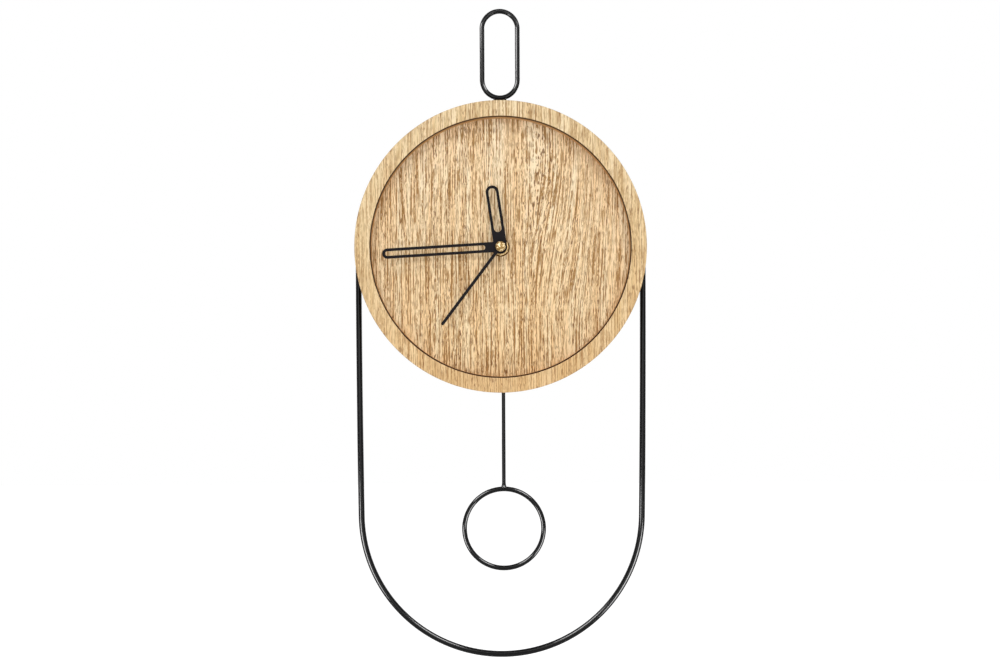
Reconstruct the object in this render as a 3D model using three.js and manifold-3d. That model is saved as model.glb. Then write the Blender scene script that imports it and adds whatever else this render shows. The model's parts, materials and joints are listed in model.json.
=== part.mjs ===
// Wall pendulum clock: an oak drum case on a bent wire frame, with a quartz pendulum movement.
// Millimetres, +Z up. The dial faces -Y and the wall is the plane y = 0. The origin is the point on
// the wall where the crown of the hanging loop rests on its nail.
import * as THREE from 'three';
import { mergeVertices } from 'three/addons/utils/BufferGeometryUtils.js';
import Module from 'manifold-3d';

const wasm = await Module();
wasm.setup();

// Clearances
const SEAT_GAP = 0.3; // between pieces that touch on a curved or turned seat
const RUNNING_GAP = 0.3; // round every pipe, arbor and pivot that turns

// Case and dial
const CASE_RADIUS = 115;
const RIM_WIDTH = 12.4;
const RIM_ROUNDING = 0.6;
const REAR_CHAMFER = 0.8;
const DIAL_SHOULDER = 4.4; // how far the front rim overlaps the dial's edge
const DIAL_RECESS = 16; // from the rim's front down to the dial
const DIAL_THICKNESS = 5;
const BLOCK_LENGTH = 18;
const BLOCK_WIDTH = 9;
const BLOCK_HEIGHT = 10;
const KNOB_RECESS = 1.2; // how far the setting knob stays inside the case's back
const NOTCH_WALL_REACH = 5; // the rod's notch is cut this far inwards past the wall

// Wire frame and hanging loop
const FRAME_WIRE = 5;
const FRAME_OVERHANG = 1; // the frame's centre line runs this far outside the case
const FRAME_CROWN_RISE = 3.1; // centre of the frame's upper arc above the dial's centre
const FRAME_LENGTH = 218.8; // between the centres of the upper and the lower arc
const FRAME_TAPER = 1.6; // the lower arc's radius is this much smaller
const LOOP_WIRE = 4;
const LOOP_RADIUS = 14.4;
const LOOP_HEIGHT = 74.7;
const LOOP_FOOT_WIDTH = 10.6;
const LOOP_FOOT_DEPTH = 3;
const LOOP_FOOT_RISE = 2;
const WELD_OVERLAP = 0.5; // depth to which a weld is drawn before its mate is cut out of it
const TAB_THICKNESS = 2;
const TAB_WIDTH = 14;
const TAB_INNER_REACH = 5; // from the screw's centre towards the dial's centre
const TAB_UPPER_ANGLE = 45; // degrees above the horizontal
const TAB_LOWER_DROP = 20; // lower tabs below the dial's centre
const TAB_SCREW_RADIUS = 1.5;
const TAB_SCREW_LENGTH = 14;
const TAB_SCREW_HEAD_RADIUS = 3;
const TAB_SCREW_HEAD_HEIGHT = 1.8;
const TAB_SCREW_POINT = 2.5;

// Hands, measured from the hands' axis; heights are in front of the dial
const HOUR_HAND = {
  length: 48.9, width: 10.4, slotWidth: 5.9, slotStart: 11.8, hubRadius: 5.2, angle: 351.5,
};
const MINUTE_HAND = {
  rimMargin: 9.1, width: 8.1, slotWidth: 3.6, slotStart: 12.1, hubRadius: 5.1, angle: 266.7,
};
const SECONDS_HAND = { rimMargin: 25.5, width: 2.4, hubRadius: 3, angle: 217.1 };
const HAND_THICKNESS = 0.8;
const SECONDS_HAND_THICKNESS = 0.6;
const COLLET_HEIGHT = 0.9; // the short tube under each hand
const COLLET_WALL = 0.7;
const HOUR_PIPE_PROUD = 0.2; // the pipes end this far in front of their hands
const MINUTE_PIPE_PROUD = 0.4;
const HAND_STEP = 1.1; // free height between one hand's face and the next one's collet
const CAP_RADIUS = 4.2;
const CAP_HEIGHT = 2;
const CAP_CHAMFER = 0.6;

// Centre bush and its nut
const SECONDS_ARBOR_RADIUS = 0.6;
const PIPE_WALL = 0.7;
const BUSH_WALL = 2.1;
const BUSH_PROUD = 8; // in front of the dial
const BUSH_FLANGE_WIDTH = 3;
const BUSH_FLANGE_THICKNESS = 1;
const RUBBER_THICKNESS = 0.8;
const RUBBER_WIDTH = 3.7;
const WASHER_RADIUS = 7.5;
const WASHER_THICKNESS = 0.8;
const NUT_WALL = 0.7; // least wall between the nut's thread and its flats
const NUT_HEIGHT = 3;

// Going train and motion work: tooth counts give 1:60 and 1:12
const ROTOR_PINION_TEETH = 6;
const INTERMEDIATE_WHEEL_TEETH = 30;
const INTERMEDIATE_PINION_TEETH = 6;
const SECONDS_WHEEL_TEETH = 36;
const SECONDS_PINION_TEETH = 6;
const THIRD_WHEEL_TEETH = 45;
const THIRD_PINION_TEETH = 6;
const CENTRE_WHEEL_TEETH = 48;
const CANNON_PINION_TEETH = 8;
const MOTION_WHEEL_TEETH = 24;
const MOTION_PINION_TEETH = 6;
const HOUR_WHEEL_TEETH = 24;
const THIRD_DISTANCE = 11; // between the centre and the third wheel's arbor
const THIRD_ANGLE = 75; // degrees from +X towards +Z
const MOTION_ANGLE = 180;
const INTERMEDIATE_DISTANCE = 9;
const INTERMEDIATE_ANGLE = -5;
const ROTOR_DISTANCE = 8; // from the intermediate wheel's arbor
const ROTOR_ANGLE = 50;
const PRESSURE_ANGLE = THREE.MathUtils.degToRad(25);
const ADDENDUM = 0.7; // both in modules
const DEDENDUM = 1.1;
const TOOTH_PLAY = 0.12; // taken off each tooth's thickness
const WHEEL_THICKNESS = 0.8;
const PINION_OVERRUN = 0.2; // a pinion is longer than its wheel by this at each end
const ARBOR_RADIUS = 0.7;
const PIVOT_RADIUS = 0.5;
const PIVOT_DEPTH = 1; // depth of the blind holes that carry the pivots
const ARBOR_CLEARANCE = 0.7; // between the motion wheel's arbor and the centre wheel's teeth
const COLLAR_THICKNESS = 0.3;
const COLLAR_WIDTH = 1;
const CENTRE_HUB_WALL = 1.2;
const MIDDLE_PLATE_THICKNESS = 1;
const PLATE_CLEARANCE = 0.5;
const KNOB_RADIUS = 5;
const KNOB_HEIGHT = 3.5;
const KNOB_FLUTES = 16;
const KNOB_FLUTE_DEPTH = 0.35;

// Stepping motor and electronics
const MAGNET_RADIUS = 2.4;
const MAGNET_LENGTH = 1.8;
const MAGNET_END_ROOM = 1;
const STATOR_GAP = 0.5;
const STATOR_THICKNESS = 1;
const STATOR_BAND = 4; // half height of the bar round the rotor
const STATOR_ARM_WIDTH = 3.5;
const STATOR_HALF_SPAN = 12;
const COIL_RADIUS = 2.9;
const COIL_CORE_RADIUS = 1;
const COIL_FLANGE = 0.8;
const COIL_FLANGE_RISE = 0.5;
const COIL_CORE_HEIGHT = 3;
const COIL_RISE = 12.2; // coil's centre line above the rotor
const BOARD_SIZE = { width: 17, height: 14, thickness: 1 };
const BOARD_STANDOFF = 0.6;
const BOARD_INSET = { x: 5.5, z: 1.5 }; // from the housing's left and upper inner walls
const STANDOFF_RADIUS = 1.2;
const STANDOFF_INSET = 2;
const CRYSTAL_RADIUS = 1;
const CRYSTAL_LENGTH = 6;
const CHIP_RADIUS = 2.6;
const CHIP_HEIGHT = 1.2;

// Battery (one AA cell) and its contacts
const CELL_RADIUS = 7.25;
const CELL_LENGTH = 50.4;
const CELL_NUB_RADIUS = 2.75;
const CELL_NUB_LENGTH = 1.2;
const CELL_CLEARANCE = 0.35;
const CONTACT_THICKNESS = 0.4;
const CONTACT_ROOM = 1.3;
const CONTACT_WIDTH = 9;
const CONTACT_HEIGHT = 12;
const CONTACT_BULGE = { positive: 0.2, negative: 0.3 };
const DOORWAY_MARGIN = 1; // between the battery doorway and the housing's inner end walls

// Housing
const HOUSING_WALL = 1.5;
const HOUSING_CORNER = 3;
const HOUSING_TOP = 28;
const MODULE_WIDTH = 44; // the lower part, which holds the pendulum drive
const MODULE_LENGTH = 51;
const RIB_THICKNESS = 1;
const TRAIN_CLEARANCE = 1.4; // from the centre wheel's teeth down to the battery rib
const POST_RADIUS = 1.6;
const SCREW_POST_RADIUS = 2.3;
const SCREW_POST_OVERLAP = 0.4; // depth to which a screw post runs into the wall beside it
const PIN_BOSS_WALL = 1.6;
const CORE_LENGTH = 3; // of the boss that carries the drive coil
const COVER_SCREW_RADIUS = 0.8;
const COVER_SCREW_LENGTH = 6;
const COVER_SCREW_HEAD_RADIUS = 1.8;
const COVER_SCREW_HEAD_HEIGHT = 1.1;

// Pendulum and its drive
const PENDULUM_OFFSET = 1.8; // the drive stands this far right of the hands' axis
const PENDULUM_SWING = 5; // degrees each way
const PIVOT_DROP = 4.9; // pivot pin below the battery compartment
const PENDULUM_LENGTH = 192.2; // from the pivot pin to the centre of the ring
const RING_RADIUS = 32;
const RING_WIRE = 4;
const ROD_RADIUS = 1.5;
const WELD_FLARE = 1.1;
const WELD_HEIGHT = 3.5;
const LEVER_THICKNESS = 2;
const LEVER_INSET = 4.5; // from the lever's front face to the rear cover
const LEVER_ROOM = 2; // free space round the lever in the housing's lower slot
const LEVER_WIDTH = 5;
const LEVER_HUB_RADIUS = 3.6;
const LEVER_HUB_OVERRUN = 1;
const LEVER_BELOW_HOUSING = 5.5; // link pin below the housing
const MAGNET_SEAT_MARGIN = 0.8;
const PIN_RADIUS = 1;
const LINK_HEAD_RADIUS = 1.9;
const LINK_HEAD_HEIGHT = 0.8;
const PEEN_WIDTH = 0.6;
const ROD_EYE_THICKNESS = 1.2;
const ROD_EYE_RADIUS = 3;
const ROD_NECK_TAPER = 2.5;
const DRIVE_DROP = 26; // magnet and drive coil below the pivot pin
const DRIVE_MAGNET_RADIUS = 4.5;
const DRIVE_MAGNET_THICKNESS = 3;
const DRIVE_GAP = 1.2;
const DRIVE_COIL_RADIUS = 7;
const DRIVE_COIL_FLANGE = 0.8;
const DRIVE_COIL_WAIST = 6;
const DRIVE_CORE_RADIUS = 2.6;
const NOTCH_CLEARANCE = 3.5;

// Facets
const CASE_SIDES = 56;
const ROUNDING_STEPS = 2;
const FRAME_ARC_STEPS = 24;
const FRAME_SIDE_STEPS = 4;
const LOOP_ARC_STEPS = 10;
const RING_STEPS = 32;
const WIRE_SIDES = 8;
const SMALL_SIDES = 8;
const ROUND_SIDES = 14;
const CORNER_SEGMENTS = 2;
const SLOT_SEGMENTS = 8;

// Planes across the clock, from the wall forwards
const wireY = -FRAME_WIRE / 2;
const caseBack = -FRAME_WIRE - SEAT_GAP;
const tabBack = caseBack + TAB_THICKNESS;

// Layers inside the movement, as depths behind the inner face of the housing's front wall
const layerStep = 2 * WHEEL_THICKNESS;
const hourLayer = BUSH_FLANGE_THICKNESS + RUNNING_GAP;
const motionLayer = hourLayer + layerStep;
const centreLayer = motionLayer + layerStep;
const collarLayer = centreLayer + WHEEL_THICKNESS + RUNNING_GAP;
const thirdLayer = collarLayer + COLLAR_THICKNESS + RUNNING_GAP + PINION_OVERRUN;
const plateLayer = thirdLayer + WHEEL_THICKNESS + PLATE_CLEARANCE;
const plateRear = plateLayer + MIDDLE_PLATE_THICKNESS;
const secondsLayer = plateRear + PLATE_CLEARANCE;
const intermediateLayer = secondsLayer + layerStep;
const magnetLayer = intermediateLayer + WHEEL_THICKNESS + PINION_OVERRUN + RUNNING_GAP;
const statorLayer = magnetLayer + (MAGNET_LENGTH - STATOR_THICKNESS) / 2;
const coilDepth = plateRear + SEAT_GAP + COIL_RADIUS;
const rotorDepth = magnetLayer + MAGNET_LENGTH + MAGNET_END_ROOM;
const innerDepth = Math.max(rotorDepth, coilDepth + COIL_RADIUS + SEAT_GAP);
const housingDepth = innerDepth + 2 * HOUSING_WALL;

// The case is as deep behind the dial as the movement and its knob need
const rearRoom = RUBBER_THICKNESS + housingDepth + SEAT_GAP + KNOB_HEIGHT + KNOB_RECESS;
const dialBack = caseBack - rearRoom;
const dialFront = dialBack - DIAL_THICKNESS;
const caseFront = dialFront - DIAL_RECESS;
const movementFront = dialBack + RUBBER_THICKNESS;
const innerFront = movementFront + HOUSING_WALL;
const innerBack = innerFront + innerDepth;
const movementBack = innerBack + HOUSING_WALL;

// Radii about the hands' axis, from the seconds arbor outwards
const cannonBore = SECONDS_ARBOR_RADIUS + RUNNING_GAP;
const cannonRadius = cannonBore + PIPE_WALL;
const hourBore = cannonRadius + RUNNING_GAP;
const hourRadius = hourBore + PIPE_WALL;
const bushBore = hourRadius + RUNNING_GAP;
const bushRadius = bushBore + BUSH_WALL;
const bushHole = bushRadius + SEAT_GAP;

// Case radii
const rimRadius = CASE_RADIUS - RIM_WIDTH;
const rearRadius = rimRadius + DIAL_SHOULDER;
const dialRadius = rearRadius - SEAT_GAP;

const group = new THREE.Group();
const clock = new THREE.Group();
group.add(clock);

const material = (color, roughness, metalness) =>
  new THREE.MeshStandardMaterial({ color, roughness, metalness });
const oak = material(0xd6b083, 0.6, 0);
const pine = material(0xc9a877, 0.8, 0);
const blackSteel = material(0x1c1a1c, 0.35, 0.6);
const blackPaint = material(0x1e1c20, 0.5, 0.1);
const brass = material(0xcfae6e, 0.3, 1);
const zincSteel = material(0xb9bcc0, 0.4, 0.9);
const blackPlastic = material(0x1b1b1d, 0.55, 0);
const whitePlastic = material(0xe6e3da, 0.5, 0);
const copper = material(0xb46a35, 0.4, 0.8);
const rubber = material(0x161616, 0.9, 0);
const board = material(0x2f6a3c, 0.6, 0);
const magnetGrey = material(0x4a4a4f, 0.4, 0.7);
const cellSleeve = material(0x30353c, 0.35, 0.2);

function addPart(name, geometry, look) {
  const mesh = new THREE.Mesh(geometry, look);
  mesh.name = name;
  clock.add(mesh);
  return mesh;
}

function signedVolume(geometry) {
  const position = geometry.getAttribute('position');
  const index = geometry.index.array;
  const corners = [new THREE.Vector3(), new THREE.Vector3(), new THREE.Vector3()];
  let sum = 0;
  for (let i = 0; i < index.length; i += 3) {
    corners.forEach((corner, k) => corner.fromBufferAttribute(position, index[i + k]));
    sum += corners[0].dot(corners[1].clone().cross(corners[2]));
  }
  return sum / 6;
}

// A closed mesh with shared vertices, no flat triangles and its faces pointing out
function closed(geometry) {
  const bare = geometry.clone();
  bare.deleteAttribute('normal');
  bare.deleteAttribute('uv');
  const merged = mergeVertices(bare, 1e-5);
  const index = merged.index.array;
  const kept = [];
  for (let i = 0; i < index.length; i += 3) {
    const [a, b, c] = [index[i], index[i + 1], index[i + 2]];
    if (a !== b && b !== c && c !== a) kept.push(a, b, c);
  }
  merged.setIndex(kept);
  if (signedVolume(merged) < 0) merged.setIndex(kept.reverse());
  return merged;
}

function toSolid(geometry) {
  const mesh = closed(geometry);
  return new wasm.Manifold(new wasm.Mesh({
    numProp: 3,
    vertProperties: new Float32Array(mesh.getAttribute('position').array),
    triVerts: new Uint32Array(mesh.index.array),
  }));
}

function toGeometry(solid) {
  const mesh = solid.getMesh();
  const geometry = new THREE.BufferGeometry();
  geometry.setAttribute('position', new THREE.Float32BufferAttribute(mesh.vertProperties, 3));
  geometry.setIndex(Array.from(mesh.triVerts));
  geometry.computeVertexNormals();
  return geometry;
}

const joined = (geometries) => geometries.map(toSolid).reduce((all, next) => all.add(next));

// One body made by joining the first list and cutting away the second
function shaped(adds, cuts = []) {
  const body = joined(adds);
  return toGeometry(cuts.length > 0 ? body.subtract(joined(cuts)) : body);
}

// A flat outline in the dial's plane, drawn as x and z, made solid from one depth to another
function plate(shape, front, back, curveSegments = CORNER_SEGMENTS) {
  const depth = back - front;
  const geometry = new THREE.ExtrudeGeometry(shape, { depth, bevelEnabled: false, curveSegments });
  geometry.rotateX(Math.PI / 2);
  geometry.translate(0, back, 0);
  return geometry;
}

// A body turned about the Y axis from a profile of [radius, y] points, moved to x and z
function turned(profile, axis = { x: 0, z: 0 }, sides = ROUND_SIDES) {
  const points = profile.map(([radius, y]) => new THREE.Vector2(radius, y));
  return new THREE.LatheGeometry(points, sides).translate(axis.x, 0, axis.z);
}

function disc(radius, front, back, axis = { x: 0, z: 0 }, sides = ROUND_SIDES) {
  const geometry = new THREE.CylinderGeometry(radius, radius, back - front, sides);
  return geometry.translate(axis.x, (front + back) / 2, axis.z);
}

function block(x0, x1, y0, y1, z0, z1) {
  const geometry = new THREE.BoxGeometry(x1 - x0, y1 - y0, z1 - z0);
  return geometry.translate((x0 + x1) / 2, (y0 + y1) / 2, (z0 + z1) / 2);
}

function rectangle(x0, x1, z0, z1, corner) {
  const shape = new THREE.Shape();
  shape.moveTo(x0 + corner, z0);
  shape.lineTo(x1 - corner, z0);
  shape.absarc(x1 - corner, z0 + corner, corner, -Math.PI / 2, 0, false);
  shape.lineTo(x1, z1 - corner);
  shape.absarc(x1 - corner, z1 - corner, corner, 0, Math.PI / 2, false);
  shape.lineTo(x0 + corner, z1);
  shape.absarc(x0 + corner, z1 - corner, corner, Math.PI / 2, Math.PI, false);
  shape.lineTo(x0, z0 + corner);
  shape.absarc(x0 + corner, z0 + corner, corner, Math.PI, 1.5 * Math.PI, false);
  return shape;
}

function onCircle(radius, degrees, centre = { x: 0, z: 0 }) {
  const angle = THREE.MathUtils.degToRad(degrees);
  return { x: centre.x + radius * Math.cos(angle), z: centre.z + radius * Math.sin(angle) };
}

// A closed wire bent round two circles. Its sides leave the upper one straight down and bend slowly
// in towards the lower one. Rings of points run from station to station.
function wireLoop({ topZ, topRadius, bottomZ, bottomRadius, wireRadius, arcSteps, sideSteps, sides }) {
  const lean = Math.atan(2 * (topRadius - bottomRadius) / (topZ - bottomZ));
  const footX = bottomRadius * Math.cos(lean);
  const footZ = bottomZ - bottomRadius * Math.sin(lean);
  const stations = [];
  const addArc = (z, radius, start, sweep) => {
    for (let i = 0; i <= arcSteps; i++) {
      const angle = start + sweep * (i / arcSteps);
      stations.push({ angle, x: radius * Math.cos(angle), z: z + radius * Math.sin(angle) });
    }
  };
  const sidePoint = (share, sign) => ({
    angle: sign > 0 ? 2 * Math.PI - lean * share : Math.PI + lean * share,
    x: sign * (topRadius + (footX - topRadius) * share ** 2),
    z: topZ + (footZ - topZ) * share,
  });
  addArc(topZ, topRadius, 0, Math.PI);
  for (let i = 1; i < sideSteps; i++) {
    stations.push(sidePoint(i / sideSteps, -1));
  }
  addArc(bottomZ, bottomRadius, Math.PI + lean, Math.PI - 2 * lean);
  for (let i = sideSteps - 1; i > 0; i--) {
    stations.push(sidePoint(i / sideSteps, 1));
  }
  const positions = [];
  const index = [];
  stations.forEach((station, i) => {
    const next = (i + 1) % stations.length;
    for (let j = 0; j < sides; j++) {
      const around = 2 * Math.PI * (j + 0.5) / sides;
      const reach = wireRadius * Math.cos(around);
      const x = station.x + reach * Math.cos(station.angle);
      const z = station.z + reach * Math.sin(station.angle);
      positions.push(x, wireY + wireRadius * Math.sin(around), z);
      const beside = (j + 1) % sides;
      const [a, b] = [i * sides + j, i * sides + beside];
      const [c, d] = [next * sides + beside, next * sides + j];
      index.push(a, b, c, a, c, d);
    }
  });
  const geometry = new THREE.BufferGeometry();
  geometry.setAttribute('position', new THREE.Float32BufferAttribute(positions, 3));
  geometry.setIndex(index);
  return geometry;
}

// Case, dial and the blocks behind it

const frameTopRadius = CASE_RADIUS + FRAME_OVERHANG;
const frameBottomRadius = frameTopRadius - FRAME_TAPER;
const frameBottomZ = FRAME_CROWN_RISE - FRAME_LENGTH;
const screwCircle = CASE_RADIUS - (CASE_RADIUS - rearRadius) / 2;

// Screw positions on the case's rear wall. Upper tabs point along the frame's arc radius and lower
// tabs lie level, so that each tab meets the wire square.
function tabPlaces() {
  const places = [];
  const innerEdge = frameTopRadius - FRAME_WIRE / 2 - SEAT_GAP;
  const upper = THREE.MathUtils.degToRad(TAB_UPPER_ANGLE);
  const across = FRAME_CROWN_RISE * Math.cos(upper);
  const along = Math.sqrt(screwCircle ** 2 - across ** 2) - FRAME_CROWN_RISE * Math.sin(upper);
  const lowerX = Math.sqrt(screwCircle ** 2 - TAB_LOWER_DROP ** 2);
  const fall = (FRAME_CROWN_RISE + TAB_LOWER_DROP) / FRAME_LENGTH;
  const lowerEdge = innerEdge - FRAME_TAPER * fall ** 2;
  for (const [side, sign] of [['right', 1], ['left', -1]]) {
    const upperAngle = sign > 0 ? upper : Math.PI - upper;
    places.push({
      name: `upper_${side}`,
      x: along * Math.cos(upperAngle),
      z: FRAME_CROWN_RISE + along * Math.sin(upperAngle),
      angle: upperAngle,
      reach: innerEdge - along,
    });
    places.push({
      name: `lower_${side}`,
      x: sign * lowerX,
      z: -TAB_LOWER_DROP,
      angle: sign > 0 ? 0 : Math.PI,
      reach: lowerEdge - lowerX,
    });
  }
  return places;
}

// Pendulum places are needed by the case's notch
const centreModule = 2 * THIRD_DISTANCE / (CENTRE_WHEEL_TEETH + THIRD_PINION_TEETH);
const trainRadius = (CENTRE_WHEEL_TEETH / 2 + ADDENDUM) * centreModule;
const ribTop = -trainRadius - TRAIN_CLEARANCE;
const cellZ = ribTop - RIB_THICKNESS - CELL_CLEARANCE - CELL_RADIUS;
const squareInnerBottom = cellZ - CELL_RADIUS - CELL_CLEARANCE;
const squareBottom = squareInnerBottom - HOUSING_WALL;
const moduleBottom = squareBottom - MODULE_LENGTH;
const pivot = { x: PENDULUM_OFFSET, z: squareBottom - PIVOT_DROP };
const link = { x: PENDULUM_OFFSET, z: moduleBottom - LEVER_BELOW_HOUSING };
const drive = { x: PENDULUM_OFFSET, z: pivot.z - DRIVE_DROP };
const ringCentre = { x: PENDULUM_OFFSET, z: pivot.z - PENDULUM_LENGTH };
const leverFront = innerBack - LEVER_INSET;
const leverBack = leverFront + LEVER_THICKNESS;
const eyeFront = leverBack + SEAT_GAP;
const rodY = eyeFront + ROD_EYE_THICKNESS / 2;
const swingTangent = Math.tan(THREE.MathUtils.degToRad(PENDULUM_SWING));

function arcPoints(radius, y, quarterStart, centreOffset) {
  const points = [];
  for (let i = 0; i <= ROUNDING_STEPS; i++) {
    const angle = quarterStart + (Math.PI / 2) * (i / ROUNDING_STEPS);
    points.push([radius + centreOffset * Math.cos(angle), y + centreOffset * Math.sin(angle)]);
  }
  return points;
}

function caseRing() {
  const rounding = RIM_ROUNDING;
  const profile = [
    ...arcPoints(rimRadius + rounding, caseFront + rounding, Math.PI, rounding),
    ...arcPoints(CASE_RADIUS - rounding, caseFront + rounding, -Math.PI / 2, rounding),
    [CASE_RADIUS, caseBack - REAR_CHAMFER],
    [CASE_RADIUS - REAR_CHAMFER, caseBack],
    [rearRadius, caseBack],
    [rearRadius, dialFront],
    [rimRadius, dialFront],
    [rimRadius, caseFront + rounding],
  ];
  const pilotHoles = tabPlaces().map((place) =>
    disc(TAB_SCREW_RADIUS + SEAT_GAP, caseBack - TAB_SCREW_LENGTH, caseBack + 1, place, SMALL_SIDES));
  const sway = (CASE_RADIUS + pivot.z) * swingTangent;
  const halfNotch = sway + ROD_RADIUS + NOTCH_CLEARANCE;
  const notchFront = rodY - ROD_RADIUS - NOTCH_CLEARANCE;
  const notch = block(
    PENDULUM_OFFSET - halfNotch, PENDULUM_OFFSET + halfNotch,
    notchFront, caseBack + 1,
    -CASE_RADIUS - 1, -rearRadius + NOTCH_WALL_REACH,
  );
  return shaped([turned(profile, undefined, CASE_SIDES)], [...pilotHoles, notch]);
}

function dialPlate() {
  const profile = [
    [bushHole, dialFront],
    [dialRadius, dialFront],
    [dialRadius, dialBack],
    [bushHole, dialBack],
    [bushHole, dialFront],
  ];
  return closed(turned(profile, undefined, CASE_SIDES));
}

// A corner block lies on the dial's back and against the case's inner wall
function dialBlock(degrees) {
  const outer = rearRadius - SEAT_GAP;
  const bar = block(
    outer - BLOCK_WIDTH, outer + 1,
    dialBack, dialBack + BLOCK_HEIGHT,
    -BLOCK_LENGTH / 2, BLOCK_LENGTH / 2,
  );
  const turn = THREE.MathUtils.degToRad(degrees);
  const wall = disc(outer, dialBack - 1, dialBack + BLOCK_HEIGHT + 1, undefined, CASE_SIDES);
  return toGeometry(toSolid(bar.rotateY(-turn)).intersect(toSolid(wall)));
}

addPart('case_ring', caseRing(), oak);
addPart('dial_plate', dialPlate(), oak);
[45, 135, 225, 315].forEach((degrees, i) => {
  addPart(`dial_block_${i + 1}`, dialBlock(degrees), pine);
});

// Frame, hanging loop, tabs and their screws

const crownTop = FRAME_CROWN_RISE + frameTopRadius + FRAME_WIRE / 2;
const loopBottom = crownTop + SEAT_GAP;
const loopTop = loopBottom + LOOP_HEIGHT;
const nailZ = loopTop - LOOP_WIRE;

const frameBend = (extra) => wireLoop({
  topZ: FRAME_CROWN_RISE,
  topRadius: frameTopRadius,
  bottomZ: frameBottomZ,
  bottomRadius: frameBottomRadius,
  wireRadius: FRAME_WIRE / 2 + extra,
  arcSteps: FRAME_ARC_STEPS,
  sideSteps: FRAME_SIDE_STEPS,
  sides: WIRE_SIDES,
});

// The loop stands on the crown of the frame in a short saddle of weld
function hangingLoop() {
  const outerRadius = LOOP_RADIUS + LOOP_WIRE / 2;
  const loop = wireLoop({
    topZ: loopTop - outerRadius,
    topRadius: LOOP_RADIUS,
    bottomZ: loopBottom + outerRadius,
    bottomRadius: LOOP_RADIUS,
    wireRadius: LOOP_WIRE / 2,
    arcSteps: LOOP_ARC_STEPS,
    sideSteps: 1,
    sides: WIRE_SIDES,
  });
  const foot = block(
    -LOOP_FOOT_WIDTH / 2, LOOP_FOOT_WIDTH / 2,
    wireY - LOOP_FOOT_DEPTH / 2, wireY + LOOP_FOOT_DEPTH / 2,
    crownTop - WELD_OVERLAP, loopBottom + LOOP_FOOT_RISE,
  );
  return shaped([loop, foot], [frameBend(SEAT_GAP)]);
}

function frameTab(place) {
  const strip = block(
    -TAB_INNER_REACH, place.reach,
    caseBack, tabBack,
    -TAB_WIDTH / 2, TAB_WIDTH / 2,
  );
  const hole = disc(TAB_SCREW_RADIUS + SEAT_GAP, caseBack - 1, tabBack + 1, undefined, SMALL_SIDES);
  return shaped([strip], [hole]);
}

function tabScrew(place) {
  const crown = TAB_SCREW_HEAD_HEIGHT / 3;
  const profile = [
    [0, tabBack - TAB_SCREW_LENGTH],
    [TAB_SCREW_RADIUS, tabBack - TAB_SCREW_LENGTH + TAB_SCREW_POINT],
    [TAB_SCREW_RADIUS, tabBack],
    [TAB_SCREW_HEAD_RADIUS, tabBack],
    [TAB_SCREW_HEAD_RADIUS, tabBack + TAB_SCREW_HEAD_HEIGHT - crown],
    [TAB_SCREW_HEAD_RADIUS * 0.6, tabBack + TAB_SCREW_HEAD_HEIGHT],
    [0, tabBack + TAB_SCREW_HEAD_HEIGHT],
  ];
  return closed(turned(profile, place, SMALL_SIDES));
}

addPart('wire_frame', closed(frameBend(0)), blackSteel);
addPart('hanging_loop', hangingLoop(), blackSteel);
for (const place of tabPlaces()) {
  const tab = addPart(`frame_tab_${place.name}`, frameTab(place), blackSteel);
  tab.position.set(place.x, 0, place.z);
  tab.rotation.y = -place.angle;
  addPart(`tab_screw_${place.name}`, tabScrew(place), zincSteel);
}

// Gears

const involute = (angle) => Math.tan(angle) - angle;

// An involute outline. Straight chords stand in for the flanks and lie just inside them.
function toothedOutline({ teeth, module, phase }) {
  const pitchRadius = teeth * module / 2;
  const baseRadius = pitchRadius * Math.cos(PRESSURE_ANGLE);
  const rootRadius = pitchRadius - DEDENDUM * module;
  const tipRadius = pitchRadius + ADDENDUM * module;
  const halfTooth = (radius) => {
    const pressure = Math.acos(Math.min(1, baseRadius / radius));
    const atPitch = (Math.PI * module / 2 - TOOTH_PLAY) / (2 * pitchRadius);
    return atPitch + involute(PRESSURE_ANGLE) - involute(pressure);
  };
  const isPinion = teeth <= CANNON_PINION_TEETH;
  const radii = isPinion ? [rootRadius, pitchRadius, tipRadius] : [rootRadius, tipRadius];
  const shape = new THREE.Shape();
  const points = [];
  for (let i = 0; i < teeth; i++) {
    const middle = phase + 2 * Math.PI * i / teeth;
    for (const radius of radii) points.push([radius, middle - halfTooth(radius)]);
    for (const radius of [...radii].reverse()) points.push([radius, middle + halfTooth(radius)]);
  }
  shape.setFromPoints(points.map(([radius, angle]) =>
    new THREE.Vector2(radius * Math.cos(angle), radius * Math.sin(angle))));
  return shape;
}

// A wheel and the pinion that it meshes with: one wheel tooth points into a gap of the pinion
function gearPair(wheelTeeth, wheelAxis, pinionTeeth, pinionAxis) {
  const dx = pinionAxis.x - wheelAxis.x;
  const dz = pinionAxis.z - wheelAxis.z;
  const module = 2 * Math.hypot(dx, dz) / (wheelTeeth + pinionTeeth);
  const towards = Math.atan2(dz, dx);
  return {
    wheel: { teeth: wheelTeeth, module, phase: towards, axis: wheelAxis },
    pinion: {
      teeth: pinionTeeth, module, phase: towards + Math.PI + Math.PI / pinionTeeth, axis: pinionAxis,
    },
  };
}

const layerY = (depth) => innerFront + depth;

function toothed(gear, front, back) {
  return plate(toothedOutline(gear), layerY(front), layerY(back)).translate(gear.axis.x, 0, gear.axis.z);
}

const wheelDisc = (gear, layer) => toothed(gear, layer, layer + WHEEL_THICKNESS);
const pinionOn = (gear, layer) =>
  toothed(gear, layer - PINION_OVERRUN, layer + WHEEL_THICKNESS + PINION_OVERRUN);
const arbor = (axis, front, back, radius = ARBOR_RADIUS) =>
  disc(radius, layerY(front), layerY(back), axis, SMALL_SIDES);

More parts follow.
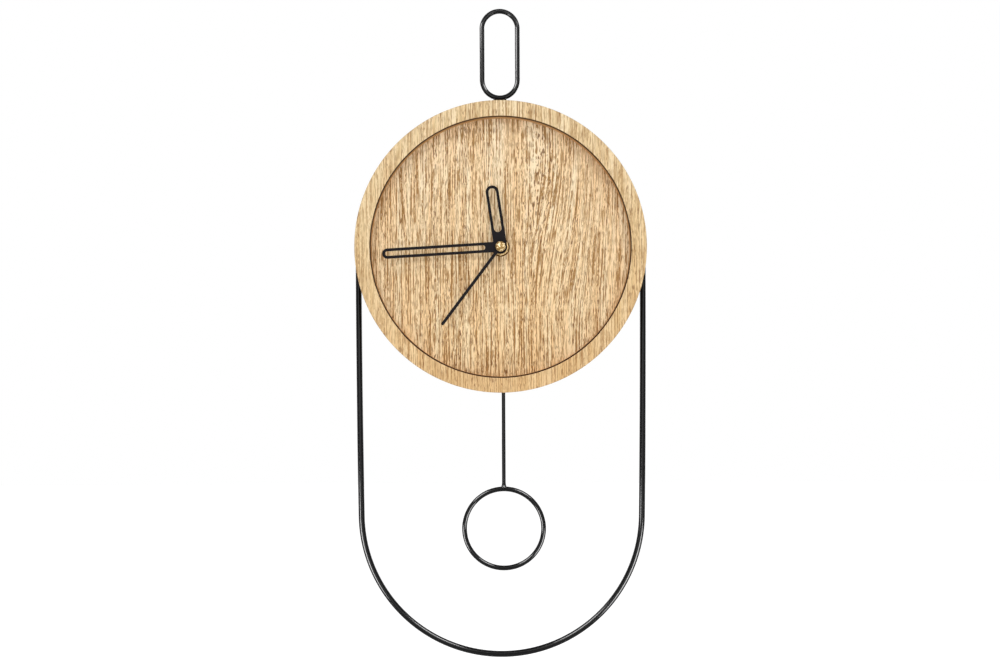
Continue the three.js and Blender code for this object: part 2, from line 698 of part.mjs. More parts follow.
const centre = { x: 0, z: 0 };
const third = onCircle(THIRD_DISTANCE, THIRD_ANGLE);
const motionDistance = trainRadius + ARBOR_CLEARANCE + ARBOR_RADIUS;
const motion = onCircle(motionDistance, MOTION_ANGLE);
const intermediate = onCircle(INTERMEDIATE_DISTANCE, INTERMEDIATE_ANGLE);
const rotorAxis = onCircle(ROTOR_DISTANCE, ROTOR_ANGLE, intermediate);

const rotorPair = gearPair(INTERMEDIATE_WHEEL_TEETH, intermediate, ROTOR_PINION_TEETH, rotorAxis);
const secondsPair = gearPair(SECONDS_WHEEL_TEETH, centre, INTERMEDIATE_PINION_TEETH, intermediate);
const thirdPair = gearPair(THIRD_WHEEL_TEETH, third, SECONDS_PINION_TEETH, centre);
const centrePair = gearPair(CENTRE_WHEEL_TEETH, centre, THIRD_PINION_TEETH, third);
const motionPair = gearPair(MOTION_WHEEL_TEETH, motion, CANNON_PINION_TEETH, centre);
const hourPair = gearPair(HOUR_WHEEL_TEETH, centre, MOTION_PINION_TEETH, motion);

const frontPivotEnd = -PIVOT_DEPTH + RUNNING_GAP;
const rearPivotEnd = innerDepth + PIVOT_DEPTH - RUNNING_GAP;

// Heights of the hands in front of the dial, each clear of the one below
const hourHandBack = BUSH_PROUD + RUNNING_GAP + COLLET_HEIGHT;
const hourPipeEnd = hourHandBack + HAND_THICKNESS + HOUR_PIPE_PROUD;
const minuteHandBack = hourPipeEnd + RUNNING_GAP + COLLET_HEIGHT;
const minutePipeEnd = minuteHandBack + HAND_THICKNESS + MINUTE_PIPE_PROUD;
const secondsHandBack = minuteHandBack + HAND_THICKNESS + HAND_STEP;
const capBack = secondsHandBack + SECONDS_HAND_THICKNESS + SEAT_GAP;
const secondsArborEnd = capBack + CAP_HEIGHT / 2;
const inFront = (height) => dialFront - height;

// A tube about the hands' axis
function pipe(bore, radius, front, back) {
  return closed(turned([
    [bore, front], [radius, front], [radius, back], [bore, back], [bore, front],
  ]));
}

function hourWheel() {
  const body = [
    wheelDisc(hourPair.wheel, hourLayer),
    disc(hourRadius, inFront(hourPipeEnd), layerY(hourLayer + WHEEL_THICKNESS / 2)),
  ];
  return shaped(body, [disc(hourBore, inFront(hourPipeEnd) - 1, layerY(motionLayer))]);
}

// The minute pipe ends in a riveted collar that holds the centre wheel by friction
function cannonPinion() {
  const collarFront = layerY(collarLayer);
  const collarBack = collarFront + COLLAR_THICKNESS;
  const body = [
    pinionOn(motionPair.pinion, motionLayer),
    disc(cannonRadius, inFront(minutePipeEnd), collarBack),
    disc(cannonRadius + COLLAR_WIDTH, collarFront, collarBack),
  ];
  return shaped(body, [disc(cannonBore, inFront(minutePipeEnd) - 1, collarBack + 1, centre, SMALL_SIDES)]);
}

function centreWheel() {
  const hubFront = layerY(motionLayer + WHEEL_THICKNESS + PINION_OVERRUN + RUNNING_GAP);
  const bore = cannonRadius + RUNNING_GAP;
  const body = [
    wheelDisc(centrePair.wheel, centreLayer),
    disc(bore + CENTRE_HUB_WALL, hubFront, layerY(centreLayer + WHEEL_THICKNESS / 2)),
  ];
  return shaped(body, [disc(bore, hubFront - 1, layerY(thirdLayer))]);
}

function thirdWheel() {
  return shaped([
    pinionOn(centrePair.pinion, centreLayer),
    wheelDisc(thirdPair.wheel, thirdLayer),
    arbor(third, RUNNING_GAP, plateLayer - RUNNING_GAP),
    arbor(third, frontPivotEnd, plateRear - RUNNING_GAP, PIVOT_RADIUS),
  ]);
}

function secondsWheel() {
  const front = inFront(secondsArborEnd);
  return shaped([
    pinionOn(thirdPair.pinion, thirdLayer),
    wheelDisc(secondsPair.wheel, secondsLayer),
    disc(SECONDS_ARBOR_RADIUS, front, layerY(rearPivotEnd), centre, SMALL_SIDES),
    arbor(centre, plateRear - MIDDLE_PLATE_THICKNESS, innerDepth - RUNNING_GAP),
  ]);
}

function intermediateWheel() {
  return shaped([
    pinionOn(secondsPair.pinion, secondsLayer),
    wheelDisc(rotorPair.wheel, intermediateLayer),
    arbor(intermediate, plateRear + RUNNING_GAP, innerDepth - RUNNING_GAP),
    arbor(intermediate, plateLayer + RUNNING_GAP, rearPivotEnd, PIVOT_RADIUS),
  ]);
}

function rotor() {
  const magnetBack = magnetLayer + MAGNET_LENGTH;
  return shaped([
    pinionOn(rotorPair.pinion, intermediateLayer),
    arbor(rotorAxis, plateRear + RUNNING_GAP, innerDepth - RUNNING_GAP),
    arbor(rotorAxis, plateLayer + RUNNING_GAP, rearPivotEnd, PIVOT_RADIUS),
    disc(MAGNET_RADIUS, layerY(magnetLayer), layerY(magnetBack), rotorAxis),
  ]);
}

function motionWheel() {
  const knobRear = innerDepth + HOUSING_WALL + SEAT_GAP + KNOB_HEIGHT - 0.5;
  return shaped([
    pinionOn(hourPair.pinion, hourLayer),
    wheelDisc(motionPair.wheel, motionLayer),
    arbor(motion, RUNNING_GAP, knobRear),
    arbor(motion, frontPivotEnd, motionLayer, PIVOT_RADIUS),
  ]);
}

// Fluted knob, pressed on the motion wheel's arbor behind the cover
function setKnob() {
  const front = movementBack + SEAT_GAP;
  const points = [];
  const steps = KNOB_FLUTES * 4;
  for (let i = 0; i < steps; i++) {
    const angle = 2 * Math.PI * i / steps;
    const radius = KNOB_RADIUS - KNOB_FLUTE_DEPTH * (0.5 - 0.5 * Math.cos(KNOB_FLUTES * angle));
    points.push(new THREE.Vector2(radius * Math.cos(angle), radius * Math.sin(angle)));
  }
  const grip = plate(new THREE.Shape(points), front, front + KNOB_HEIGHT).translate(motion.x, 0, motion.z);
  const bore = disc(ARBOR_RADIUS + SEAT_GAP, front - 1, front + KNOB_HEIGHT - 0.3, motion, SMALL_SIDES);
  return shaped([grip], [bore]);
}

addPart('hour_wheel', hourWheel(), whitePlastic);
addPart('cannon_pinion', cannonPinion(), whitePlastic);
addPart('centre_wheel', centreWheel(), whitePlastic);
addPart('third_wheel', thirdWheel(), whitePlastic);
addPart('seconds_wheel', secondsWheel(), whitePlastic);
addPart('intermediate_wheel', intermediateWheel(), whitePlastic);
addPart('rotor', rotor(), magnetGrey);
addPart('motion_wheel', motionWheel(), whitePlastic);
addPart('set_knob', setKnob(), blackPlastic);

// Centre bush, washers and nut

function centreBush() {
  const flange = bushRadius + BUSH_FLANGE_WIDTH;
  const profile = [
    [bushBore, inFront(BUSH_PROUD)],
    [bushRadius - 0.5, inFront(BUSH_PROUD)],
    [bushRadius, inFront(BUSH_PROUD) + 0.5],
    [bushRadius, innerFront],
    [flange, innerFront],
    [flange, innerFront + BUSH_FLANGE_THICKNESS],
    [bushBore, innerFront + BUSH_FLANGE_THICKNESS],
    [bushBore, inFront(BUSH_PROUD)],
  ];
  return closed(turned(profile));
}

function brassNut() {
  const flat = bushHole + NUT_WALL;
  const cornerRadius = flat / Math.cos(Math.PI / 6);
  const back = inFront(WASHER_THICKNESS);
  const hexagon = disc(cornerRadius, back - NUT_HEIGHT, back, centre, 6);
  const trim = turned([
    [0, back - NUT_HEIGHT], [flat, back - NUT_HEIGHT], [cornerRadius, back - NUT_HEIGHT + 0.5],
    [cornerRadius, back], [0, back],
  ]);
  const body = toSolid(hexagon).intersect(toSolid(trim));
  return toGeometry(body.subtract(toSolid(disc(bushHole, back - NUT_HEIGHT - 1, back + 1))));
}

addPart('centre_bush', centreBush(), brass);
addPart('rubber_washer', pipe(bushHole, bushHole + RUBBER_WIDTH, dialBack, movementFront), rubber);
addPart('brass_washer', pipe(bushHole, WASHER_RADIUS, inFront(WASHER_THICKNESS), dialFront), brass);
addPart('brass_nut', brassNut(), brass);

// Hands, drawn pointing at twelve and turned clockwise to their time

// A slotted hand: a blade with a round tip and a slot with round ends that keeps an even band round it
function slottedHand(hand, length, bore, backHeight) {
  const half = hand.width / 2;
  const slotHalf = hand.slotWidth / 2;
  const tipCentre = length - half;
  const blade = new THREE.Shape();
  blade.moveTo(-half, 0);
  blade.lineTo(half, 0);
  blade.absarc(0, tipCentre, half, 0, Math.PI, false);
  const slot = new THREE.Path();
  slot.absarc(0, hand.slotStart + slotHalf, slotHalf, Math.PI, 2 * Math.PI, false);
  slot.absarc(0, tipCentre, slotHalf, 0, Math.PI, false);
  blade.holes.push(slot);
  const back = inFront(backHeight);
  const front = back - HAND_THICKNESS;
  const collet = disc(bore + COLLET_WALL, back - HAND_THICKNESS / 2, back + COLLET_HEIGHT);
  return shaped(
    [plate(blade, front, back, SLOT_SEGMENTS), disc(hand.hubRadius, front, back), collet],
    [disc(bore, front - 1, back + COLLET_HEIGHT + 1)],
  );
}

function secondsHand(length) {
  const half = SECONDS_HAND.width / 2;
  const back = inFront(secondsHandBack);
  const front = back - SECONDS_HAND_THICKNESS;
  const blade = plate(rectangle(-half, half, 0, length, half / 2), front, back);
  return shaped(
    [blade, disc(SECONDS_HAND.hubRadius, front, back)],
    [disc(SECONDS_ARBOR_RADIUS + SEAT_GAP, front - 1, back + 1, centre, SMALL_SIDES)],
  );
}

// Brass cap: a low dome with a blind bore that fits the seconds arbor
function secondsCap() {
  const back = inFront(capBack);
  const front = back - CAP_HEIGHT;
  const boreFront = inFront(secondsArborEnd) - SEAT_GAP;
  const bore = SECONDS_ARBOR_RADIUS + SEAT_GAP;
  const profile = [
    [0, front],
    [CAP_RADIUS * 0.55, front + 0.12],
    [CAP_RADIUS - CAP_CHAMFER, front + 0.35],
    [CAP_RADIUS, front + 0.35 + CAP_CHAMFER],
    [CAP_RADIUS, back],
    [bore, back],
    [bore, boreFront],
    [0, boreFront],
  ];
  return closed(turned(profile));
}

const clockwise = (mesh, degrees) => {
  mesh.rotation.y = THREE.MathUtils.degToRad(degrees);
};
const minuteLength = rimRadius - MINUTE_HAND.rimMargin;
const secondsLength = rimRadius - SECONDS_HAND.rimMargin;
const hourHand = slottedHand(HOUR_HAND, HOUR_HAND.length, hourRadius + SEAT_GAP, hourHandBack);
const minuteHand = slottedHand(MINUTE_HAND, minuteLength, cannonRadius + SEAT_GAP, minuteHandBack);
clockwise(addPart('hour_hand', hourHand, blackPaint), HOUR_HAND.angle);
clockwise(addPart('minute_hand', minuteHand, blackPaint), MINUTE_HAND.angle);
clockwise(addPart('seconds_hand', secondsHand(secondsLength), blackPaint), SECONDS_HAND.angle);
addPart('seconds_cap', secondsCap(), brass);

// Movement housing, middle plate and rear cover

const housingHalf = CELL_LENGTH / 2 + CONTACT_ROOM + HOUSING_WALL;
const innerHalf = housingHalf - HOUSING_WALL;
const innerTop = HOUSING_TOP - HOUSING_WALL;
const moduleHalf = MODULE_WIDTH / 2;
const screwInset = HOUSING_WALL + SCREW_POST_RADIUS - SCREW_POST_OVERLAP;
const coverScrews = [
  { x: housingHalf - screwInset, z: HOUSING_TOP - screwInset },
  { x: -housingHalf + screwInset, z: HOUSING_TOP - screwInset },
  { x: moduleHalf - screwInset, z: moduleBottom + screwInset },
  { x: -moduleHalf + screwInset, z: moduleBottom + screwInset },
];
const platePosts = [
  { x: innerHalf - 4, z: ribTop + 3 },
  { x: -innerHalf + 4, z: ribTop + 3 },
  { x: innerHalf - 8.5, z: innerTop - 3.5 },
  { x: -innerHalf + 8.5, z: innerTop - 3.5 },
];

function outline(front, back) {
  const square = rectangle(-housingHalf, housingHalf, squareBottom, HOUSING_TOP, HOUSING_CORNER);
  const lower = rectangle(-moduleHalf, moduleHalf, moduleBottom, squareBottom + 10, HOUSING_CORNER);
  return [plate(square, front, back), plate(lower, front, back)];
}

const boreAt = (axis, radius, front, back) =>
  disc(radius + RUNNING_GAP, layerY(front), layerY(back), axis, SMALL_SIDES);

function housing() {
  const square = rectangle(-innerHalf, innerHalf, squareInnerBottom, innerTop, HOUSING_CORNER - HOUSING_WALL);
  const lowerHalf = moduleHalf - HOUSING_WALL;
  const lower = rectangle(
    -lowerHalf, lowerHalf, moduleBottom + HOUSING_WALL, squareBottom, HOUSING_CORNER - HOUSING_WALL,
  );
  const cavity = [square, lower].map((shape) => plate(shape, innerFront, innerBack + 1));
  const shell = joined(outline(movementFront, innerBack)).subtract(joined(cavity));
  const rib = block(
    -innerHalf - 0.5, innerHalf + 0.5,
    innerFront - 0.5, innerBack,
    ribTop - RIB_THICKNESS, ribTop,
  );
  const root = innerFront - 0.5;
  const post = (place, radius, back) => disc(radius, root, back, place, SMALL_SIDES);
  const insides = [
    rib,
    ...coverScrews.map((place) => post(place, SCREW_POST_RADIUS, innerBack)),
    ...platePosts.map((place) => post(place, POST_RADIUS, layerY(plateLayer - SEAT_GAP))),
    post(pivot, PIN_RADIUS + PIN_BOSS_WALL, leverFront - LEVER_HUB_OVERRUN - RUNNING_GAP),
    post(drive, DRIVE_CORE_RADIUS, layerY(CORE_LENGTH)),
  ];
  const swing = (pivot.z - moduleBottom) * swingTangent + LEVER_WIDTH / 2 + LEVER_ROOM;
  const cuts = [
    disc(bushHole, movementFront - 1, innerFront + 1),
    boreAt(third, PIVOT_RADIUS, -PIVOT_DEPTH, 1),
    boreAt(motion, PIVOT_RADIUS, -PIVOT_DEPTH, 1),
    boreAt(pivot, PIN_RADIUS, -PIVOT_DEPTH, innerDepth),
    ...coverScrews.map((place) =>
      disc(COVER_SCREW_RADIUS + SEAT_GAP, innerBack - COVER_SCREW_LENGTH, innerBack + 1, place, SMALL_SIDES)),
    block(
      pivot.x - swing, pivot.x + swing,
      leverFront - LEVER_ROOM, innerBack + 1,
      moduleBottom - 1, moduleBottom + HOUSING_WALL + 1,
    ),
  ];
  return toGeometry(shell.add(joined(insides)).subtract(joined(cuts)));
}

const statorY = layerY(statorLayer);
const coilZ = rotorAxis.z + COIL_RISE;
const coilHalf = STATOR_HALF_SPAN - STATOR_ARM_WIDTH - SEAT_GAP;
const boardPlace = { x: -innerHalf + BOARD_INSET.x, z: innerTop - BOARD_INSET.z - BOARD_SIZE.height };
const boardFront = plateRear + BOARD_STANDOFF + SEAT_GAP;

function middlePlate() {
  const edge = innerHalf - SEAT_GAP;
  const shape = rectangle(-edge, edge, ribTop + SEAT_GAP, innerTop - SEAT_GAP, HOUSING_CORNER - HOUSING_WALL);
  const standoff = (x, z, rear) =>
    disc(STANDOFF_RADIUS, layerY(plateRear - 0.5), layerY(rear), { x, z }, SMALL_SIDES);
  const boardSeat = plateRear + BOARD_STANDOFF;
  const statorSeat = statorLayer - SEAT_GAP;
  const boardRight = boardPlace.x + BOARD_SIZE.width - STANDOFF_INSET;
  const boardTop = boardPlace.z + BOARD_SIZE.height - STANDOFF_INSET;
  const armCentre = STATOR_HALF_SPAN - STATOR_ARM_WIDTH / 2;
  const body = [
    plate(shape, layerY(plateLayer), layerY(plateRear)),
    standoff(boardPlace.x + STANDOFF_INSET, boardPlace.z + STANDOFF_INSET, boardSeat),
    standoff(boardRight, boardTop, boardSeat),
    standoff(rotorAxis.x + armCentre, rotorAxis.z, statorSeat),
    standoff(rotorAxis.x - armCentre, rotorAxis.z + COIL_RISE * 0.6, statorSeat),
  ];
  const through = (axis, radius) => boreAt(axis, radius, plateLayer - 1, plateRear + 1);
  const pinionTip = (SECONDS_PINION_TEETH / 2 + ADDENDUM) * thirdPair.pinion.module;
  const cuts = [
    through(centre, pinionTip),
    through(third, PIVOT_RADIUS),
    through(motion, ARBOR_RADIUS),
    through(intermediate, PIVOT_RADIUS),
    through(rotorAxis, PIVOT_RADIUS),
    ...coverScrews.slice(0, 2).map((place) => through(place, SCREW_POST_RADIUS)),
  ];
  return shaped(body, cuts);
}

function rearCover() {
  const pinBoss = leverBack + LEVER_HUB_OVERRUN + RUNNING_GAP;
  const body = [
    ...outline(innerBack, movementBack),
    disc(PIN_RADIUS + PIN_BOSS_WALL, pinBoss, innerBack + 0.5, pivot, SMALL_SIDES),
  ];
  const blind = (axis, radius) => boreAt(axis, radius, innerDepth - 5, innerDepth + PIVOT_DEPTH);
  const cellEdge = innerHalf - DOORWAY_MARGIN;
  const doorway = rectangle(-cellEdge, cellEdge, squareInnerBottom, cellZ + CELL_RADIUS + CELL_CLEARANCE, 1);
  const cuts = [
    plate(doorway, innerBack - 1, movementBack + 1),
    blind(centre, SECONDS_ARBOR_RADIUS),
    blind(intermediate, PIVOT_RADIUS),
    blind(rotorAxis, PIVOT_RADIUS),
    blind(pivot, PIN_RADIUS),
    boreAt(motion, ARBOR_RADIUS, innerDepth - 1, innerDepth + HOUSING_WALL + 1),
    ...coverScrews.map((place) =>
      disc(COVER_SCREW_RADIUS + SEAT_GAP, innerBack - 1, movementBack + 1, place, SMALL_SIDES)),
  ];
  return shaped(body, cuts);
}

function coverScrew(place) {
  const profile = [
    [0, innerBack - COVER_SCREW_LENGTH + 1],
    [COVER_SCREW_RADIUS, innerBack - COVER_SCREW_LENGTH + 1.6],
    [COVER_SCREW_RADIUS, movementBack],
    [COVER_SCREW_HEAD_RADIUS, movementBack],
    [COVER_SCREW_HEAD_RADIUS, movementBack + COVER_SCREW_HEAD_HEIGHT - 0.4],
    [COVER_SCREW_HEAD_RADIUS * 0.6, movementBack + COVER_SCREW_HEAD_HEIGHT],
    [0, movementBack + COVER_SCREW_HEAD_HEIGHT],
  ];
  return closed(turned(profile, place, SMALL_SIDES));
}

addPart('movement_housing', housing(), blackPlastic);
addPart('middle_plate', middlePlate(), whitePlastic);
addPart('rear_cover', rearCover(), blackPlastic);
coverScrews.forEach((place, i) => {
  addPart(`cover_screw_${i + 1}`, coverScrew(place), zincSteel);
});

// Stepping motor, circuit board and battery

// The stator's bar holds the rotor in its bore and its two arms rise to the coil's core
function stator() {
  const left = rotorAxis.x - STATOR_HALF_SPAN;
  const right = rotorAxis.x + STATOR_HALF_SPAN;
  const bottom = rotorAxis.z - STATOR_BAND;
  const top = coilZ + STATOR_ARM_WIDTH / 2;
  const back = statorY + STATOR_THICKNESS;
  const bar = [
    block(left, right, statorY, back, bottom, rotorAxis.z + STATOR_BAND),
    block(left, left + STATOR_ARM_WIDTH, statorY, back, bottom, top),
    block(right - STATOR_ARM_WIDTH, right, statorY, back, bottom, top),
  ];
  return shaped(bar, [disc(MAGNET_RADIUS + STATOR_GAP, statorY - 1, back + 1, rotorAxis)]);
}

// Bobbin with its winding and the core that reaches behind both stator arms
function motorCoil() {
  const half = coilHalf;
  const winding = COIL_RADIUS - COIL_FLANGE_RISE;
  const profile = [
    [0, -half], [COIL_RADIUS, -half], [COIL_RADIUS, -half + COIL_FLANGE],
    [winding, -half + COIL_FLANGE], [winding, half - COIL_FLANGE],
    [COIL_RADIUS, half - COIL_FLANGE], [COIL_RADIUS, half], [0, half],
  ];
  const spool = turned(profile, undefined, ROUND_SIDES).rotateZ(Math.PI / 2);
  spool.translate(rotorAxis.x, layerY(coilDepth), coilZ);
  const coreBack = statorY - SEAT_GAP;
  const core = block(
    rotorAxis.x - STATOR_HALF_SPAN, rotorAxis.x + STATOR_HALF_SPAN,
    coreBack - COIL_CORE_RADIUS, coreBack,
    coilZ - COIL_CORE_HEIGHT / 2, coilZ + COIL_CORE_HEIGHT / 2,
  );
  return shaped([spool, core]);
}

function circuitBoard() {
  const { width, height, thickness } = BOARD_SIZE;
  const shape = rectangle(boardPlace.x, boardPlace.x + width, boardPlace.z, boardPlace.z + height, 0.8);
  return closed(plate(shape, layerY(boardFront), layerY(boardFront + thickness)));
}

const boardRear = layerY(boardFront + BOARD_SIZE.thickness);

function quartzCrystal() {
  const can = disc(CRYSTAL_RADIUS, -CRYSTAL_LENGTH / 2, CRYSTAL_LENGTH / 2, centre, SMALL_SIDES);
  can.rotateZ(Math.PI / 2);
  const x = boardPlace.x + BOARD_SIZE.width / 2;
  const z = boardPlace.z + BOARD_SIZE.height - 2.5;
  return closed(can.translate(x, boardRear + SEAT_GAP + CRYSTAL_RADIUS, z));
}

function timingChip() {
  const profile = [
    [0, boardRear], [CHIP_RADIUS, boardRear], [CHIP_RADIUS * 0.9, boardRear + CHIP_HEIGHT * 0.5],
    [CHIP_RADIUS * 0.55, boardRear + CHIP_HEIGHT * 0.9], [0, boardRear + CHIP_HEIGHT],
  ];
  const place = { x: boardPlace.x + BOARD_SIZE.width / 2, z: boardPlace.z + 5 };
  return closed(turned(profile, place, SMALL_SIDES));
}

const cellY = innerBack - CELL_RADIUS + 0.4;

// The cell lies across the housing with its positive nub to the right
function battery() {
  const half = CELL_LENGTH / 2;
  const shoulder = half - CELL_NUB_LENGTH;
  const profile = [
    [0, -half], [CELL_RADIUS - 0.8, -half], [CELL_RADIUS, -half + 0.8], [CELL_RADIUS, shoulder - 0.8],
    [CELL_RADIUS - 0.8, shoulder], [CELL_NUB_RADIUS, shoulder], [CELL_NUB_RADIUS, half], [0, half],
  ];
  const body = turned(profile, undefined, ROUND_SIDES).rotateZ(-Math.PI / 2);
  return closed(body.translate(0, cellY, cellZ));
}

// A contact strip against the end wall; the negative one bulges towards the cell
function batteryContact(sign, bulge) {
  const wall = innerHalf - SEAT_GAP;
  const face = wall - CONTACT_THICKNESS;
  const shape = new THREE.Shape();
  const half = CONTACT_HEIGHT / 2;
  shape.moveTo(wall, -half);
  shape.lineTo(wall, half);
  shape.lineTo(face, half);
  shape.lineTo(face, half / 3);
  shape.lineTo(face - bulge, half / 8);
  shape.lineTo(face - bulge, -half / 8);
  shape.lineTo(face, -half / 3);
  shape.lineTo(face, -half);
  const strip = new THREE.ExtrudeGeometry(shape, { depth: CONTACT_WIDTH, bevelEnabled: false });
  strip.translate(0, cellY, cellZ - CONTACT_WIDTH / 2);
  if (sign < 0) strip.rotateZ(Math.PI).translate(0, 2 * cellY, 0);
  return closed(strip);
}

addPart('stator', stator(), zincSteel);
addPart('motor_coil', motorCoil(), copper);
addPart('circuit_board', circuitBoard(), board);
addPart('quartz_crystal', quartzCrystal(), zincSteel);
addPart('timing_chip', timingChip(), blackPlastic);
addPart('battery', battery(), cellSleeve);
addPart('contact_positive', batteryContact(1, CONTACT_BULGE.positive), zincSteel);
addPart('contact_negative', batteryContact(-1, CONTACT_BULGE.negative), zincSteel);

// Pendulum: pivot pin, hanger lever with its magnet, link pin, rod and ring

function pivotPin() {
  return closed(disc(PIN_RADIUS, layerY(frontPivotEnd), layerY(rearPivotEnd), pivot, SMALL_SIDES));
}

function hangerLever() {
  const half = LEVER_WIDTH / 2;
  const arm = block(pivot.x - half, pivot.x + half, leverFront, leverBack, link.z, pivot.z);
  const body = [
    arm,
    disc(half, leverFront, leverBack, link, ROUND_SIDES),
    disc(DRIVE_MAGNET_RADIUS + MAGNET_SEAT_MARGIN, leverFront, leverBack, drive),
    disc(LEVER_HUB_RADIUS, leverFront - LEVER_HUB_OVERRUN, leverBack + LEVER_HUB_OVERRUN, pivot),
  ];
  const bores = [pivot, link].map((axis) =>
    disc(PIN_RADIUS + RUNNING_GAP, leverFront - 3, leverBack + 3, axis, SMALL_SIDES));
  return shaped(body, bores);
}

function driveMagnet() {
  const back = leverFront - SEAT_GAP;
  return closed(disc(DRIVE_MAGNET_RADIUS, back - DRIVE_MAGNET_THICKNESS, back, drive));
}

// A wound bobbin on the housing's boss, its open face just clear of the magnet
function driveCoil() {
  const front = innerFront + SEAT_GAP;
  const back = leverFront - SEAT_GAP - DRIVE_MAGNET_THICKNESS - DRIVE_GAP;
  const bore = DRIVE_CORE_RADIUS + SEAT_GAP;
  const profile = [
    [bore, front],
    [DRIVE_COIL_RADIUS, front],
    [DRIVE_COIL_RADIUS, front + DRIVE_COIL_FLANGE],
    [DRIVE_COIL_WAIST, front + DRIVE_COIL_FLANGE],
    [DRIVE_COIL_WAIST, back - DRIVE_COIL_FLANGE],
    [DRIVE_COIL_RADIUS, back - DRIVE_COIL_FLANGE],
    [DRIVE_COIL_RADIUS, back],
    [bore, back],
    [bore, front],
  ];
  return closed(turned(profile, drive));
}

// Headed pin through the lever and the rod's eye, peened at the front
function linkPin() {
  const front = leverFront - SEAT_GAP;
  const back = eyeFront + ROD_EYE_THICKNESS + SEAT_GAP;
  const peenRadius = PIN_RADIUS + PEEN_WIDTH;
  const profile = [
    [0, front - PEEN_WIDTH],
    [peenRadius, front - PEEN_WIDTH],
    [peenRadius, front],
    [PIN_RADIUS, front],
    [PIN_RADIUS, back],
    [LINK_HEAD_RADIUS, back],
    [LINK_HEAD_RADIUS, back + LINK_HEAD_HEIGHT],
    [0, back + LINK_HEAD_HEIGHT],
  ];
  return closed(turned(profile, link, SMALL_SIDES));
}

function ringBend(extra) {
  const bend = new THREE.TorusGeometry(RING_RADIUS, RING_WIRE / 2 + extra, WIRE_SIDES, RING_STEPS);
  return bend.rotateX(Math.PI / 2).translate(ringCentre.x, rodY, ringCentre.z);
}

// The rod is flattened and drilled at its head and welded to the ring at its foot
function pendulumRod() {
  const eyeBack = eyeFront + ROD_EYE_THICKNESS;
  const shankTop = link.z - ROD_EYE_RADIUS - 1;
  const ringTop = ringCentre.z + RING_RADIUS + RING_WIRE / 2;
  const weldRadius = ROD_RADIUS + WELD_FLARE;
  const profile = [
    [0, ringTop - 2 * WELD_OVERLAP],
    [weldRadius, ringTop - 2 * WELD_OVERLAP],
    [weldRadius, ringTop],
    [ROD_RADIUS, ringTop + WELD_HEIGHT],
    [ROD_RADIUS, shankTop],
    [ROD_EYE_THICKNESS / 2, shankTop + ROD_NECK_TAPER],
    [0, shankTop + ROD_NECK_TAPER],
  ];
  const shank = turned(profile, undefined, WIRE_SIDES).rotateX(Math.PI / 2);
  shank.translate(ringCentre.x, rodY, 0);
  const neckHalf = ROD_RADIUS * 1.25;
  const neck = block(
    link.x - neckHalf, link.x + neckHalf,
    eyeFront, eyeBack,
    shankTop - ROD_RADIUS, link.z,
  );
  return shaped(
    [shank, neck, disc(ROD_EYE_RADIUS, eyeFront, eyeBack, link)],
    [disc(PIN_RADIUS + SEAT_GAP, eyeFront - 1, eyeBack + 1, link, SMALL_SIDES), ringBend(SEAT_GAP)],
  );
}

addPart('pivot_pin', pivotPin(), zincSteel);
addPart('hanger_lever', hangerLever(), whitePlastic);
addPart('drive_magnet', driveMagnet(), magnetGrey);
addPart('drive_coil', driveCoil(), copper);
addPart('link_pin', linkPin(), zincSteel);
addPart('pendulum_rod', pendulumRod(), blackSteel);
addPart('pendulum_ring', closed(ringBend(0)), blackSteel);

clock.position.z = -nailZ;

export default group;
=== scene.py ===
"""The wall pendulum clock's looks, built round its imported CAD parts. Metres, +Z up, dial towards -Y."""
import json
import math

import bmesh
import bpy
from mathutils import Matrix, Vector


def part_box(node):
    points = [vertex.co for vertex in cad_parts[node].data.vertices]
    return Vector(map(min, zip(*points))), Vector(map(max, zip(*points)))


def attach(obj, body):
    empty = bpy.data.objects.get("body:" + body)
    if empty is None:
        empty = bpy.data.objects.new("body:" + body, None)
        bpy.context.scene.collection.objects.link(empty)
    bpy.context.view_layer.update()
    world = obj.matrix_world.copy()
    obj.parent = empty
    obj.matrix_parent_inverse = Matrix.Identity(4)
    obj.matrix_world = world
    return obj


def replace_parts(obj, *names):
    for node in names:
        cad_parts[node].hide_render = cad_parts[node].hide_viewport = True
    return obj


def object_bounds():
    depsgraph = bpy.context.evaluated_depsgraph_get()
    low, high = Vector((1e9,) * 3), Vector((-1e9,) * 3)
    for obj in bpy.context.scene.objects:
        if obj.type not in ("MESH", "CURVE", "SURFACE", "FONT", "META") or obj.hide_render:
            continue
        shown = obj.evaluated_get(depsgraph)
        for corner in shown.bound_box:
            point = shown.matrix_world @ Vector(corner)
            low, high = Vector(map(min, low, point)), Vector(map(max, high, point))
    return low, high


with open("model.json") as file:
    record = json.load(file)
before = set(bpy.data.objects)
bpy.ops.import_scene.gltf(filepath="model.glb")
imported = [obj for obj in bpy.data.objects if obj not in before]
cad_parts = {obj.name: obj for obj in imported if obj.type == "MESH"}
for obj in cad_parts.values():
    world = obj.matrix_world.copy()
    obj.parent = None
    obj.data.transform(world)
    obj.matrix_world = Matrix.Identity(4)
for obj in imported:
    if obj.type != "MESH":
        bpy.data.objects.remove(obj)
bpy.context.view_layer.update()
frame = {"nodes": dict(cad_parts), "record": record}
MM = 0.001
FACET_REACH = math.cos(math.pi / 8)  # how far an eight-sided wire reaches, as a share of its radius
CORNERS = ("upper_right", "upper_left", "lower_right", "lower_left")  # where the frame's tabs are

# The photograph: its frame, and where its camera stood
IMAGE_WIDTH = 1000
IMAGE_HEIGHT = 667
PIXEL = 0.7853 * MM  # one pixel's width in the plane of the rim's front
CAMERA_DISTANCE = 1200 * MM  # from that plane
DIAL_CENTRE_PIXEL = (501.0, 246.3)
ROLL = math.radians(0.26)  # the clock hangs a little askew, its top to the left
SENSOR_WIDTH = 36  # in millimetres, as Blender takes it
VIEW_DEPTH = 20  # how far the camera sees

